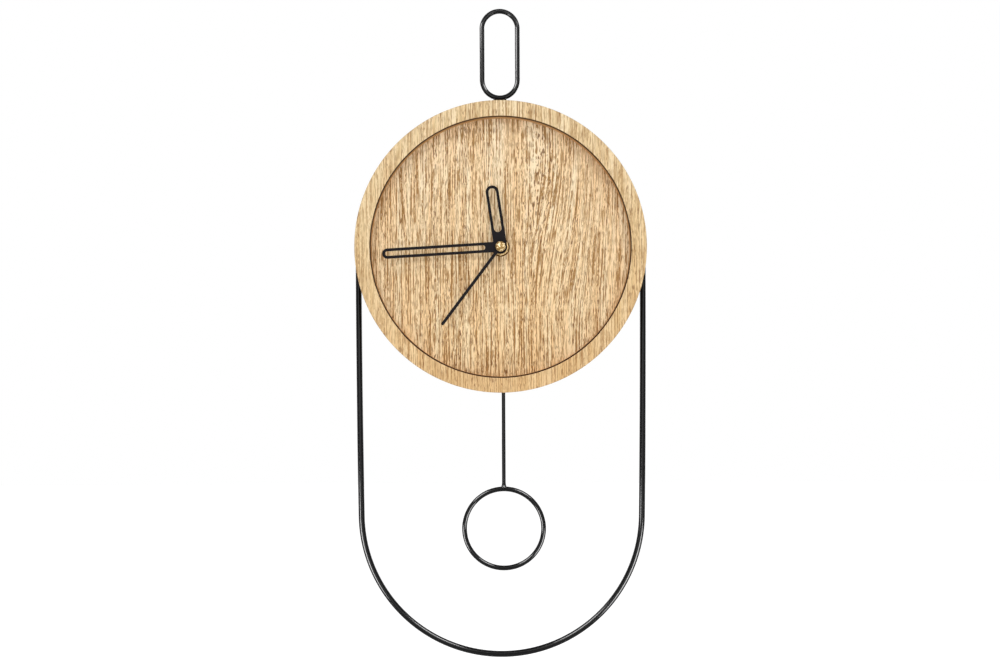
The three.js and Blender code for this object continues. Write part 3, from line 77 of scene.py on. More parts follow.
# Sizes that the solids' boxes don't give. Wires, pins and holes are given by their radii
RIM_WIDTH = 12.4 * MM
RIM_ROUNDING = 0.6 * MM
SEAT_GAP = 0.3 * MM
BUSH_HOLE = 5.3 * MM  # in the dial and in the washer
FRAME_WIRE = 2.5 * MM
FRAME_TAPER = 1.6 * MM
LOOP_WIRE = 2 * MM
RING_WIRE = 2 * MM
ROD = 1.5 * MM
HAND_BEVEL = 0.12 * MM
PIVOT_DROP = 3.6 * MM  # from the hanger lever's top to the pin that the pendulum swings on
SWING = math.radians(5)  # of the pendulum, to each side

# Lamps: place (right of the dial's centre, y, above it), width and height, and watts
FOCUS_DROP = 60 * MM  # all of them aim at a point this far below the dial's centre
SIDE_LAMP = ((0.52, -1.95, 0.16), (0.7, 1.6), 14.2)
REAR_LAMP = ((1.1, 1.5, 0.3), (1.2, 1.2), 16)
KEY_LAMP = ((0, -1.3, 0.98), (1.2, 0.35), 6.8)

# Small lamps that only the wires mirror
GLEAM_POWER = 37
GLEAM_SIZE = (0.44, 0.44)
GLEAM_DISTANCE = 0.9
GLEAM_SLANT = math.radians(52)  # how far off the line of sight the photograph's wires mirror light
GLEAM_DIRECTIONS = (50, 138, 215, 318)  # and from where, in degrees round the dial from its right

# World and floor: levels from 0 to 1, and lengths
WORLD_LEVEL = 0.27
FLOOR_DROP = 0.45
FLOOR_REACH = 6
FLOOR_GREY = 0.85
FLOOR_GLOW = 0.8


def middle(node):
    low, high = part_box(node)
    return (low + high) / 2


# Planes and radii, all taken from the frame
case_low, case_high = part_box("case_ring")
dial_low, dial_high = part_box("dial_plate")
axis = middle("dial_plate")
case_radius = (case_high.x - case_low.x) / 2
rim_radius = case_radius - RIM_WIDTH
dial_radius = (dial_high.x - dial_low.x) / 2
rear_radius = dial_radius + SEAT_GAP
rim_front, case_back = case_low.y, case_high.y
dial_front, dial_back = dial_low.y, dial_high.y


def polar(point):
    """A point's distance from the clock's axis and its direction round it, from the right."""
    x, z = point.x - axis.x, point.z - axis.z
    return math.hypot(x, z), math.atan2(z, x)


# Shader nodes


def srgb(red, green, blue):
    """A colour written in 8-bit screen values, as linear RGBA."""
    linear = []
    for value in (red, green, blue):
        share = value / 255
        linear.append(share / 12.92 if share <= 0.04045 else ((share + 0.055) / 1.055) ** 2.4)
    return (*linear, 1)


class Shader:
    """One material and short names for the nodes it is made of."""

    def __init__(self, name, **constants):
        self.material = bpy.data.materials.new(name)
        self.material.use_nodes = True
        self.tree = self.material.node_tree
        self.surface = self.tree.nodes["Principled BSDF"]
        for socket, value in constants.items():
            self.set(socket.replace("_", " "), value)

    def set(self, socket, value):
        self.put(self.surface.inputs[socket], value)

    def put(self, socket, value):
        if isinstance(value, bpy.types.NodeSocket):
            self.tree.links.new(value, socket)
        else:
            socket.default_value = value

    def node(self, kind, inputs, **settings):
        made = self.tree.nodes.new("ShaderNode" + kind)
        for key, value in settings.items():
            setattr(made, key, value)
        for key, value in inputs.items():
            self.put(made.inputs[key], value)
        return made

    def math(self, operation, first, second=0.0):
        return self.node("Math", {0: first, 1: second}, operation=operation).outputs[0]

    def times(self, first, second):
        return self.math("MULTIPLY", first, second)

    def plus(self, first, second):
        return self.math("ADD", first, second)

    def over(self, first, second):
        return self.math("DIVIDE", first, second)

    def vector(self, x, y, z):
        return self.node("CombineXYZ", {"X": x, "Y": y, "Z": z}).outputs[0]

    def split(self, vector):
        parts = self.node("SeparateXYZ", {0: vector})
        return parts.outputs["X"], parts.outputs["Y"], parts.outputs["Z"]

    def noise(self, vector, scale=1.0, detail=2.0, roughness=0.5, distortion=0.0):
        inputs = {"Vector": vector, "Scale": scale, "Detail": detail, "Roughness": roughness}
        made = self.node("TexNoise", {**inputs, "Distortion": distortion})
        return made.outputs["Fac"]

    def span(self, value, low, high, to_low=0.0, to_high=1.0, smooth=False):
        inputs = {"Value": value, "From Min": low, "From Max": high, "To Min": to_low, "To Max": to_high}
        kind = "SMOOTHSTEP" if smooth else "LINEAR"
        return self.node("MapRange", inputs, interpolation_type=kind, clamp=True).outputs[0]

    def ramp(self, value, stops):
        made = self.node("ValToRGB", {"Fac": value})
        elements = made.color_ramp.elements
        while len(elements) < len(stops):
            elements.new(0.5)
        for element, (place, colour) in zip(elements, stops):
            element.position = place
            element.color = colour
        return made.outputs["Color"]

    def blend(self, share, first, second, mode="MIX"):
        """A mix of two colours, whose sockets are the Mix node's sixth and seventh."""
        made = self.node("Mix", {0: share, 6: first, 7: second}, data_type="RGBA", blend_type=mode)
        return made.outputs[2]

    def bump(self, height, distance, strength):
        inputs = {"Height": height, "Distance": distance, "Strength": strength}
        self.set("Normal", self.node("Bump", inputs).outputs["Normal"])

    def in_millimetres(self, vector):
        return self.node("VectorMath", {0: vector, "Scale": 1 / MM}, operation="SCALE").outputs[0]

    def object_point(self):
        """The point on the object, in millimetres."""
        return self.in_millimetres(self.node("TexCoord", {}).outputs["Object"])


# Oak: mottled pore bands along the growth rings, long grey streaks and short dark pores

OAK_PALE = srgb(232, 215, 183)
OAK_CREAM = srgb(232, 205, 165)
OAK_STREAK = srgb(142, 102, 48)
OAK_BAND = srgb(214, 168, 112)
OAK_PORE = srgb(98, 58, 14)
RIM_PALE = srgb(223, 203, 166)
RIM_GOLD = srgb(211, 187, 145)
OAK_LOWER_SHADE = srgb(254, 246, 231)  # painted shade: what the veneer's foot is multiplied by, less and less up to its top, as less light falls on the lower part
RIM_LOWER_SHADE = srgb(250, 243, 238)  # the same painted shade for the rim, once more, from its middle down
# Painted shade for the recess: the dark line along the rim's inner edge and the front of its wall
PAINTED_RECESS_SHADE = srgb(44, 18, 3)
LEAN_ACROSS = (10, 50, 56, 100)  # mm right of the middle: the lean starts, is full, fades and has ended
LEAN_HEIGHTS = (-262, -118)  # and up the dial, in mm, where it starts and where it is full


def leaning(shader, across, along, lean):
    """The place across the grain, shifted so that its lines lean over on the right."""
    starts, full, fades, ends = LEAN_ACROSS
    grows = shader.span(across, starts, full, smooth=True)
    side = shader.times(grows, shader.span(across, fades, ends, 1.0, 0.0, smooth=True))
    rise = shader.span(along, *LEAN_HEIGHTS, 0.0, lean, smooth=True)
    return shader.math("SUBTRACT", across, shader.times(side, rise))


def oak(name, seed, pale, warm, lean=0.0, contrast=1.0, lower_shade=None):
    """Grain that runs along V of the UV map "grain", which is in metres. Widths and lengths are in mm."""
    shader = Shader(name, Specular_IOR_Level=0.2)
    grain = shader.node("UVMap", {}, uv_map="grain").outputs[0]
    across, along, _ = shader.split(shader.in_millimetres(grain))
    if lean:
        across = leaning(shader, across, along, lean)

    def streaky(width, length, layer, column=across, detail=1.0):
        """Noise drawn out along the grain. Each layer has its own."""
        place = shader.vector(shader.over(column, width), shader.over(along, length), seed + 10.0 * layer)
        return shader.noise(place, detail=detail)

    # Growth rings, where a slow noise crosses its middle, and the tints between them
    wander = shader.span(streaky(26, 60, 0, detail=2.0), 0.3, 0.7, -1.6, 1.6)
    wavy = shader.plus(across, wander)
    off_ring = shader.math("ABSOLUTE", shader.math("SUBTRACT", streaky(7.0, 330, 1, wavy), 0.5))
    presence = shader.span(streaky(12, 60, 2, wavy, detail=2.0), 0.36, 0.56, 0.25, 1.0)
    band = shader.times(shader.span(off_ring, 0.07, 0.01, smooth=True), presence)
    tint = shader.span(streaky(6, 200, 3, wavy), 0.38, 0.62)
    broad = shader.span(streaky(2.0, 120, 8, wavy), 0.4, 0.62)

    # Streaks, denser on the rings and ragged along their sides, then hairlines and open pores
    ragged = streaky(0.9, 3.4, 7, detail=2.0)
    lines = shader.plus(streaky(0.86, 60, 4), shader.span(band, 0.0, 1.0, 0.0, 0.05))
    lines = shader.plus(lines, shader.span(ragged, 0.3, 0.7, -0.08, 0.08))
    streaks = shader.span(lines, 0.545, 0.605)
    hairs = shader.span(streaky(0.76, 16, 5), 0.555, 0.615)
    dashes = shader.span(streaky(0.8, 6.0, 6, detail=2.0), 0.55, 0.6)
    open_pores = shader.times(dashes, shader.span(band, 0.0, 0.7, 0.45, 1.0))

    wood = shader.blend(tint, pale, warm)
    for share, strength, colour in (
        (broad, 0.15, OAK_BAND),
        (band, 0.24, OAK_BAND),
        (streaks, 0.92, OAK_STREAK),
        (hairs, 0.8, OAK_STREAK),
        (open_pores, 0.85, OAK_PORE),
    ):
        wood = shader.blend(shader.times(share, strength * contrast), wood, colour)
    # Painted shade, darker and warmer towards the bottom, where less light falls from above
    downward_shade = shader.span(along, (axis.z + case_radius) / MM, (axis.z - case_radius) / MM)
    wood = shader.blend(downward_shade, wood, OAK_LOWER_SHADE, "MULTIPLY")
    if lower_shade:
        wood = shader.blend(shader.span(downward_shade, 0.5, 1.0), wood, lower_shade, "MULTIPLY")
    shader.set("Base Color", wood)
    shader.set("Roughness", shader.span(streaks, 0.0, 1.0, 0.6, 0.5))
    depth = shader.plus(open_pores, shader.times(streaks, 0.25))
    shader.bump(shader.math("SUBTRACT", 1.0, depth), 0.06 * MM, 0.6)
    return shader.material


def recess_oak():
    """The ring's inner wall, its oak darkened by painted shade that is darkest along its front edge."""
    shader = Shader("recess_oak", Roughness=0.6, Specular_IOR_Level=0.1)
    x, y, z = shader.split(shader.object_point())
    drawn_out = 3
    place = shader.vector(shader.over(x, drawn_out), y, shader.over(z, drawn_out))
    fibres = shader.noise(place, 1.2, detail=4.0)
    wood = shader.ramp(fibres, [(0.35, srgb(190, 142, 92)), (0.65, srgb(214, 170, 118))])
    # Painted shade, darkest at the wall's front edge and fading out 12 mm behind it
    shade_until, shade_ends = rim_front / MM + 3, rim_front / MM + 12
    front = shader.span(y, shade_until, shade_ends, 1.0, 0.0, smooth=True)
    shader.set("Base Color", shader.blend(front, wood, PAINTED_RECESS_SHADE))
    shader.bump(fibres, 0.05 * MM, 0.5)
    return shader.material


def board_edge():
    """Fine brown fibreboard, as on the back of the dial and inside the rebate."""
    shader = Shader("fibreboard", Roughness=0.8)
    point = shader.object_point()
    fibres = shader.noise(point, 1.1, detail=5.0, roughness=0.75)
    cloud = shader.noise(point, 0.06, detail=3.0)
    colour = shader.ramp(fibres, [
        (0.36, srgb(112, 76, 46)),
        (0.5, srgb(152, 114, 78)),
        (0.64, srgb(184, 146, 106)),
    ])
    colour = shader.blend(shader.span(cloud, 0.35, 0.65, 0.0, 0.3), colour, srgb(132, 98, 66))
    shader.set("Base Color", colour)
    shader.bump(fibres, 0.06 * MM, 0.5)
    return shader.material


def pine():
    """Pale softwood whose lines run from front to back."""
    shader = Shader("pine_block", Roughness=0.7)
    x, y, z = shader.split(shader.object_point())
    lines = shader.noise(shader.vector(x, shader.over(y, 12), z), 1.1, detail=3.0)
    shader.set("Base Color", shader.ramp(lines, [(0.35, srgb(196, 158, 108)), (0.62, srgb(226, 194, 148))]))
    shader.bump(lines, 0.05 * MM, 0.4)
    return shader.material


def coated_steel(name, dark, pale, roughness, grain, depth):
    """Black coating with a faint orange peel, whose grain and depth are lengths."""
    shader = Shader(name, Specular_IOR_Level=0.1)
    peel = shader.noise(shader.object_point(), MM / grain, detail=3.0, roughness=0.6)
    shader.set("Base Color", shader.ramp(peel, [(0.35, dark), (0.7, pale)]))
    shader.set("Roughness", shader.span(peel, 0.3, 0.7, roughness * 0.85, roughness * 1.15))
    shader.bump(peel, depth, 0.5)
    return shader.material


def turned_brass(name, stops, polished, dull):
    """Lathe-turned brass with an uneven polish, dulled in patches, whose colour holds pale and dark patches
    that paint in blotchy reflections over its own tone.
    """
    shader = Shader(name, Metallic=1.0)
    point = shader.object_point()
    tone_and_reflection_patches = shader.noise(point, 0.5, detail=2.0, roughness=0.6, distortion=0.8)
    scuffs = shader.noise(point, 6.0, detail=3.0)
    shader.set("Base Color", shader.ramp(tone_and_reflection_patches, stops))
    shader.set("Roughness", shader.span(scuffs, 0.3, 0.7, polished, dull))
    shader.bump(scuffs, 0.03 * MM, 0.6)
    return shader.material


def tarnished_brass():
    """The washer's outer bevel in dark brass, a painted dark reflection."""
    shader = Shader("tarnished_brass", Metallic=1.0, Roughness=0.45)
    cloud = shader.noise(shader.object_point(), 1.8, detail=3.0)
    # Painted dark reflection: brass like the washer's face, only much darker
    shader.set("Base Color", shader.ramp(cloud, [(0.35, srgb(58, 32, 4)), (0.65, srgb(88, 58, 14))]))
    shader.bump(cloud, 0.03 * MM, 0.5)
    return shader.material


def zinc():
    """Bright zinc plate, cloudy from handling."""
    shader = Shader("zinc_plate", Metallic=1.0)
    cloud = shader.noise(shader.object_point(), 1.6, detail=4.0)
    shader.set("Base Color", shader.ramp(cloud, [(0.3, srgb(150, 152, 156)), (0.7, srgb(204, 206, 210))]))
    shader.set("Roughness", shader.span(cloud, 0.3, 0.7, 0.26, 0.46))
    shader.bump(cloud, 0.03 * MM, 0.4)
    return shader.material


def moulded(name, dark, pale, roughness, scale=3.5, depth=0.04 * MM):
    """Moulded plastic with a fine spark-eroded skin."""
    shader = Shader(name)
    skin = shader.noise(shader.object_point(), scale, detail=4.0, roughness=0.65)
    shader.set("Base Color", shader.ramp(skin, [(0.3, dark), (0.7, pale)]))
    shader.set("Roughness", shader.span(skin, 0.3, 0.7, roughness - 0.06, roughness + 0.06))
    shader.bump(skin, depth, 0.5)
    return shader.material


def winding():
    """Enamelled copper wire in close turns, about a fifth of a millimetre apart."""
    shader = Shader("copper_winding", Metallic=0.8, Roughness=0.35)
    x, y, _ = shader.split(shader.object_point())
    turns = shader.math("SINE", shader.times(shader.plus(x, y), 30.0))
    colour = shader.ramp(shader.span(turns, -1, 1), [(0.2, srgb(112, 58, 26)), (0.8, srgb(198, 120, 66))])
    shader.set("Base Color", colour)
    shader.bump(turns, 0.04 * MM, 0.6)
    return shader.material


dial_oak = oak("dial_oak", 3.0, OAK_PALE, OAK_CREAM, lean=15.0)
rim_oak = oak("rim_oak", 157.0, RIM_PALE, RIM_GOLD, contrast=0.65, lower_shade=RIM_LOWER_SHADE)
fibreboard = board_edge()
inner_oak = recess_oak()
black_wire = coated_steel(
    "black_powder_coat", srgb(3, 3, 4), srgb(12, 12, 13), roughness=0.11, grain=0.5 * MM, depth=0.002 * MM,
)
black_paint = coated_steel(
    "black_hand_paint", srgb(8, 5, 7), srgb(14, 10, 13), roughness=0.6, grain=0.25 * MM, depth=0.01 * MM,
)
# The cap's palest stop is a painted highlight and its darkest a painted dark reflection, over the brass's
# own tone
cap_brass = turned_brass("turned_brass", [
    (0.36, srgb(80, 58, 26)),
    (0.46, srgb(118, 94, 56)),
    (0.54, srgb(142, 118, 78)),
    (0.62, srgb(206, 190, 156)),
], polished=0.46, dull=0.58)
nut_brass = turned_brass("nut_brass", [
    (0.35, srgb(112, 90, 56)),
    (0.5, srgb(156, 132, 94)),
    (0.65, srgb(190, 168, 130)),
], polished=0.2, dull=0.34)
brass_edge = tarnished_brass()

# The look of each material slot in the record
LOOKS = {
    "oak_veneer": rim_oak,
    "pine": pine(),
    "black_steel": black_wire,
    "black_hand_paint": black_paint,
    "brass": cap_brass,
    "zinc_steel": zinc(),
    "black_plastic": moulded("black_plastic", srgb(24, 24, 26), srgb(40, 40, 43), 0.55),
    "white_plastic": moulded("white_plastic", srgb(214, 210, 200), srgb(236, 233, 225), 0.45),
    "magnet": moulded("sintered_magnet", srgb(52, 52, 56), srgb(84, 84, 88), 0.5, 6.0),
    "copper": winding(),
    "black_rubber": moulded("black_rubber", srgb(20, 20, 20), srgb(34, 34, 34), 0.85, 5.0),
    "board": moulded("circuit_board", srgb(26, 84, 46), srgb(40, 110, 62), 0.4, 2.0),
    "cell_sleeve": moulded("cell_sleeve", srgb(38, 44, 52), srgb(58, 64, 74), 0.32, 0.8, 0.01 * MM),
}
slot_of = {part["node"]: part["material_slot"] for part in frame["record"]["subparts"]}
body_of = {n: body for body, nodes in frame["record"]["behaviour"]["bodies"].items() for n in nodes}


# Pieces


def add_piece(name, mesh, node, materials=None, sharp=35):
    """Shows a finished mesh as a piece with a node's body and, if no materials are given, the look of the
    node's material slot.
    """
    piece = bpy.data.objects.new(name, mesh)
    bpy.context.scene.collection.objects.link(piece)
    if not mesh.has_custom_normals:
        for polygon in mesh.polygons:
            polygon.use_smooth = True
        mesh.set_sharp_from_angle(angle=math.radians(sharp))
    for material in materials or [LOOKS[slot_of[node]]]:
        mesh.materials.append(material)
    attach(piece, body_of[node])
    return piece


def replace_node(name, mesh, node, **settings):
    """Shows a finished mesh in a node's place."""
    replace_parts(add_piece(name, mesh, node, **settings), node)


def refine(node, width, **settings):
    """Puts a copy with rounded edges in a node's place."""
    mesh = softened(node + "_fine", frame["nodes"][node].data, width)
    mesh.materials.clear()
    replace_node(node + "_fine", mesh, node, **settings)


# Outlines and meshes


def arc(centre_x, centre_y, radius, start, sweep, steps=24):
    """Points of an arc in a flat outline or a profile, its angles in degrees."""
    points = []
    for i in range(steps + 1):
        angle = math.radians(start + sweep * i / steps)
        points.append((centre_x + radius * math.cos(angle), centre_y + radius * math.sin(angle)))
    return points


def quarter(centre_r, centre_y, radius, start, steps=6):
    """Points of a quarter circle, which rounds an edge in a profile."""
    return arc(centre_r, centre_y, radius, start, 90, steps)


def as_work(mesh):
    work = bmesh.new()
    work.from_mesh(mesh)
    return work


def from_work(work, name):
    mesh = bpy.data.meshes.new(name)
    work.to_mesh(mesh)
    work.free()
    return mesh


def new_mesh(name, vertices, faces):
    """A mesh whose coinciding points are joined and whose faces all look outwards."""
    mesh = bpy.data.meshes.new(name)
    mesh.from_pydata(vertices, [], faces)
    work = as_work(mesh)
    bmesh.ops.remove_doubles(work, verts=work.verts, dist=1e-7)
    bmesh.ops.recalc_face_normals(work, faces=work.faces)
    work.to_mesh(mesh)
    work.free()
    return mesh


def revolved(name, profile, about, segments):
    """A mesh turned about the Y axis through a point, from (radius, y) points.

    A profile that starts on the axis also ends there. Any other is closed into a ring.
    """
    count = len(profile)
    vertices = []
    for i in range(segments):
        angle = math.tau * i / segments
        for radius, y in profile:
            vertices.append((about.x + radius * math.cos(angle), y, about.z + radius * math.sin(angle)))
    faces = []
    spans = count - 1 if profile[0][0] == 0 else count
    for i in range(segments):
        beside = (i + 1) % segments
        for j in range(spans):
            above = (j + 1) % count
            faces.append((i * count + j, i * count + above, beside * count + above, beside * count + j))
    return new_mesh(name, vertices, faces)


def disc(name, hole, radius, front, back, about, segments):
    """A flat disc with a round hole."""
    profile = [(hole, front), (radius, front), (radius, back), (hole, back)]
    return revolved(name, profile, about, segments)


def box_mesh(low, high):
    """A block between two corners."""
    corners = [(x, y, z) for x in (low[0], high[0]) for y in (low[1], high[1]) for z in (low[2], high[2])]
    faces = [(0, 1, 3, 2), (4, 6, 7, 5), (0, 4, 5, 1), (2, 3, 7, 6), (0, 2, 6, 4), (1, 5, 7, 3)]
    return new_mesh("block", corners, faces)


def bend(centre, radius, start, sweep, steps):
    """Stations of a wire bent round a point: x, y, z and the outward angle, in radians."""
    stations = []
    for i in range(steps + 1):
        angle = start + sweep * i / steps
        x, z = centre[0] + radius * math.cos(angle), centre[2] + radius * math.sin(angle)
        stations.append((x, centre[1], z, angle))
    return stations


def belt(top, top_radius, bottom, bottom_radius, y, steps=90, side_steps=24):
    """Stations of a wire bent round two circles, whose sides bend slowly in towards the lower one."""
    lean = math.atan(2 * (top_radius - bottom_radius) / (top - bottom))
    foot_x = bottom_radius * math.cos(lean)
    foot_z = bottom - bottom_radius * math.sin(lean)

    def side(sign, shares):
        stations = []
        for share in shares:
            x = top_radius + (foot_x - top_radius) * share ** 2
            angle = math.tau - lean * share if sign > 0 else math.pi + lean * share
            stations.append((sign * x, y, top + (foot_z - top) * share, angle))
        return stations

    shares = [i / side_steps for i in range(1, side_steps)]
    return [
        *bend((0, y, top), top_radius, 0, math.pi, steps),
        *side(-1, shares),
        *bend((0, y, bottom), bottom_radius, math.pi + lean, math.pi - 2 * lean, steps),
        *side(1, reversed(shares)),
    ]


def wire(name, stations, radius, sides=20):
    """A closed round wire through the stations of a flat loop."""
    vertices = []
    for x, y, z, outward in stations:
        for j in range(sides):
            around = math.tau * j / sides
            reach = radius * math.cos(around)
            vertices.append((
                x + reach * math.cos(outward),
                y + radius * math.sin(around),
                z + reach * math.sin(outward),
            ))
    faces = []
    for i in range(len(stations)):
        here, there = i * sides, (i + 1) % len(stations) * sides
        for j in range(sides):
            beside = (j + 1) % sides
            faces.append((here + j, here + beside, there + beside, there + j))
    return new_mesh(name, vertices, faces)


def merged(name, meshes):
    """Several meshes as one."""
    work = bmesh.new()
    for mesh in meshes:
        work.from_mesh(mesh)
    return from_work(work, name)


def evaluated(name, data, add_modifiers=None):
    """The mesh that a mesh or curve comes to, with the modifiers that a function adds to its object."""
    carrier = bpy.data.objects.new(name, data)
    bpy.context.scene.collection.objects.link(carrier)
    if add_modifiers:
        add_modifiers(carrier)
    bpy.context.view_layer.update()
    result = bpy.data.meshes.new_from_object(carrier.evaluated_get(bpy.context.evaluated_depsgraph_get()))
    bpy.data.objects.remove(carrier)
    result.name = name
    return result


def cut(mesh, cutter):
    """The mesh with a cutter mesh taken out of it."""
    tool = bpy.data.objects.new("cutter", cutter)
    bpy.context.scene.collection.objects.link(tool)

    def add_boolean(carrier):
        modifier = carrier.modifiers.new("cut", "BOOLEAN")
        modifier.operation = "DIFFERENCE"
        modifier.solver = "EXACT"
        modifier.object = tool

    result = evaluated(mesh.name, mesh, add_boolean)
    bpy.data.objects.remove(tool)
    return result


def softened(name, mesh, width, segments=2):
    """The mesh with its flat faces joined up and its edges rounded."""
    work = as_work(mesh)
    bmesh.ops.remove_doubles(work, verts=work.verts, dist=1e-6)
    bmesh.ops.dissolve_limit(work, angle_limit=math.radians(1), verts=work.verts, edges=work.edges)
    for face in work.faces:
        face.smooth = True

    def add_bevel(carrier):
        modifier = carrier.modifiers.new("edges", "BEVEL")
        modifier.width = width
        modifier.segments = segments
        modifier.limit_method = "ANGLE"
        modifier.angle_limit = math.radians(30)
        even = carrier.modifiers.new("even", "WEIGHTED_NORMAL")
        even.weight = 100

    return evaluated(name, from_work(work, name), add_bevel)


# Case and dial


def lay_grain(mesh):
    """The UV map "grain": upright on faces that look forwards or back, along the rim on its walls."""
    layer = mesh.uv_layers.new(name="grain")
    for polygon in mesh.polygons:
        flat = abs(polygon.normal.y) > 0.5
        reach, towards = polar(polygon.center)
        for index in polygon.loop_indices:
            point = mesh.vertices[mesh.loops[index].vertex_index].co
            if flat:
                layer.data[index].uv = (point.x, point.z)
            else:
                turn = (polar(point)[1] - towards + math.pi) % math.tau - math.pi
                layer.data[index].uv = (point.y, (towards + turn) * reach)


def rod_notch():
    """What is cut from the case's wall, so that the pendulum's rod can swing through it."""
    side_room, front_room, height = 3.5 * MM, 2.4 * MM, 13 * MM
    past_wall = 5 * MM
    rod_low, rod_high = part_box("pendulum_rod")
    rod_x = (rod_low.x + rod_high.x) / 2
    wall_bottom = axis.z - case_radius
    pivot_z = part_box("hanger_lever")[1].z - PIVOT_DROP
    half = (pivot_z - wall_bottom) * math.tan(SWING) + ROD + side_room
    return box_mesh(
        (rod_x - half, rod_low.y - front_room, wall_bottom - past_wall),
        (rod_x + half, case_back + past_wall, wall_bottom + height),
    )


def case_ring():
    """The drum, with fibreboard inside its rebate and painted shade on its inner lip, a dark line that is
    widest at the bottom.
    """
    back_rounding = 0.8 * MM
    lip_end = rim_radius + RIM_ROUNDING + 0.2 * MM
    profile = [
        *quarter(rim_radius + RIM_ROUNDING, rim_front + RIM_ROUNDING, RIM_ROUNDING, 180),
        (lip_end, rim_front),
        *quarter(case_radius - RIM_ROUNDING, rim_front + RIM_ROUNDING, RIM_ROUNDING, 270),
        *quarter(case_radius - back_rounding, case_back - back_rounding, back_rounding, 0, 4),
        (rear_radius, case_back),
        (rear_radius, dial_front),
        (rim_radius, dial_front),
    ]
    ring = cut(revolved("case_ring_oak", profile, axis, 256), rod_notch())
    lay_grain(ring)
    replace_node("case_ring_oak", ring, "case_ring", materials=[rim_oak, fibreboard, inner_oak])
    # Painted shade: the recess's dark material on the lip's rounding, widest at the bottom and narrowest at
    # the top
    painted_lip_at_side, painted_lip_change = 0.44 * MM, 0.39 * MM
    for polygon in ring.polygons:
        reach, direction = polar(polygon.center)
        behind_dial = polygon.center.y > dial_front - 0.01 * MM
        if behind_dial and reach < rear_radius + 0.2 * MM:
            polygon.material_index = 1
        elif reach < rim_radius + painted_lip_at_side - painted_lip_change * math.sin(direction):
            polygon.material_index = 2


def dial_plate():
    """The dial: veneer in front, bare fibreboard on its edge and back."""
    plate = disc("dial_oak", BUSH_HOLE, dial_radius, dial_front, dial_back, axis, 256)
    lay_grain(plate)
    replace_node("dial_oak", plate, "dial_plate", materials=[dial_oak, fibreboard])
    for polygon in plate.polygons:
        if polygon.center.y > dial_front + 0.1 * MM:
            polygon.material_index = 1


# Wires


def frame_wire():
    """The frame. Returns the height of its crown."""
    low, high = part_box("wire_frame")
    reach = FRAME_WIRE * FACET_REACH
    top_radius = (high.x - low.x) / 2 - reach
    bottom_radius = top_radius - FRAME_TAPER
    top = high.z - top_radius - reach
    bottom = low.z + bottom_radius + reach
    stations = belt(top, top_radius, bottom, bottom_radius, middle("wire_frame").y)
    replace_node("frame_wire", wire("frame_wire", stations, FRAME_WIRE, 24), "wire_frame", sharp=80)
    return top + top_radius + FRAME_WIRE


def hanging_loop(crown):
    """The loop, and the rounded foot of weld that joins it to the frame's crown."""
    foot_half_length, foot_half_depth, foot_height = 5.3 * MM, 1.5 * MM, 2.3 * MM
    low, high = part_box("hanging_loop")
    radius = (high.x - low.x) / 2 - LOOP_WIRE * FACET_REACH
    bottom = crown + SEAT_GAP + LOOP_WIRE + radius
    top = high.z - LOOP_WIRE * FACET_REACH - radius
    y = middle("hanging_loop").y
    loop = wire("loop_wire", belt(top, radius, bottom, radius, y, steps=40), LOOP_WIRE)
    foot = softened("foot", box_mesh(
        (-foot_half_length, y - foot_half_depth, crown - SEAT_GAP),
        (foot_half_length, y + foot_half_depth, crown + foot_height),
    ), 0.8 * MM, segments=4)
    replace_node("loop_wire", merged("loop_wire", [loop, foot]), "hanging_loop", sharp=60)


def pendulum_ring():
    """The ring. Returns its topmost point, which the rod stands on."""
    low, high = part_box("pendulum_ring")
    centre = (low + high) / 2
    radius = (high.x - low.x) / 2 - RING_WIRE
    stations = bend(centre, radius, 0, math.tau, 128)[:-1]
    replace_node("ring_wire", wire("ring_wire", stations, RING_WIRE), "pendulum_ring", sharp=80)
    return centre.x, centre.y, centre.z + radius + RING_WIRE


def pendulum_rod(foot):
    """The rod: flared where it is welded to the ring, then a pointed end, a flat neck and an eye."""
    x, y, ring_top = foot
    weld_flare, weld_sunk, weld_rise, core_sunk = 1.1 * MM, 0.6 * MM, 3.5 * MM, 1 * MM
    point_length, point_radius = 2.5 * MM, 0.8 * MM
    eye_bore, eye_radius, eye_drop = 1.3 * MM, 3 * MM, 4 * MM
    half_neck, half_thickness = 1.8 * MM, 0.6 * MM
    neck_into_rod, neck_below_pin = 1.5 * MM, 1.6 * MM
    eye_z = middle("link_pin").z
    shoulder = eye_z - eye_drop

    # Turned with its foot at zero and its length towards -Y, then stood up
    length = shoulder - ring_top
    profile = [(0, core_sunk)]
    for i in range(9):
        share = i / 8
        flare = weld_flare * (1 - share) ** 2
        profile.append((ROD + flare, weld_sunk - (weld_sunk + weld_rise) * share))
    profile += [(ROD, -length), (point_radius, -length - point_length), (0, -length - point_length)]
    shank = revolved("rod", profile, Vector((0, 0, 0)), 32)
    shank.transform(Matrix.Translation(foot) @ Matrix.Rotation(math.radians(-90), 4, "X"))

    front, back = y - half_thickness, y + half_thickness
    eye = disc("eye", eye_bore, eye_radius, front, back, Vector((x, y, eye_z)), 40)
    neck = softened("neck", box_mesh(
        (x - half_neck, front, shoulder - neck_into_rod),
        (x + half_neck, back, eye_z - neck_below_pin),
    ), 0.3 * MM)
    rod = merged("pendulum_rod_fine", [shank, eye, neck])
    replace_node("pendulum_rod_fine", rod, "pendulum_rod", sharp=50)


# Hands and their fittings


def pointing(node):
    """A hand's length and its angle, clockwise from twelve, from the solid's farthest points."""
    points = [vertex.co - axis for vertex in frame["nodes"][node].data.vertices]
    length = max(math.hypot(p.x, p.z) for p in points)
    far = [p for p in points if math.hypot(p.x, p.z) > length - 0.05 * MM]
    x = sum(p.x for p in far) / len(far)
    z = sum(p.z for p in far) / len(far)
    return length, math.atan2(x, z)


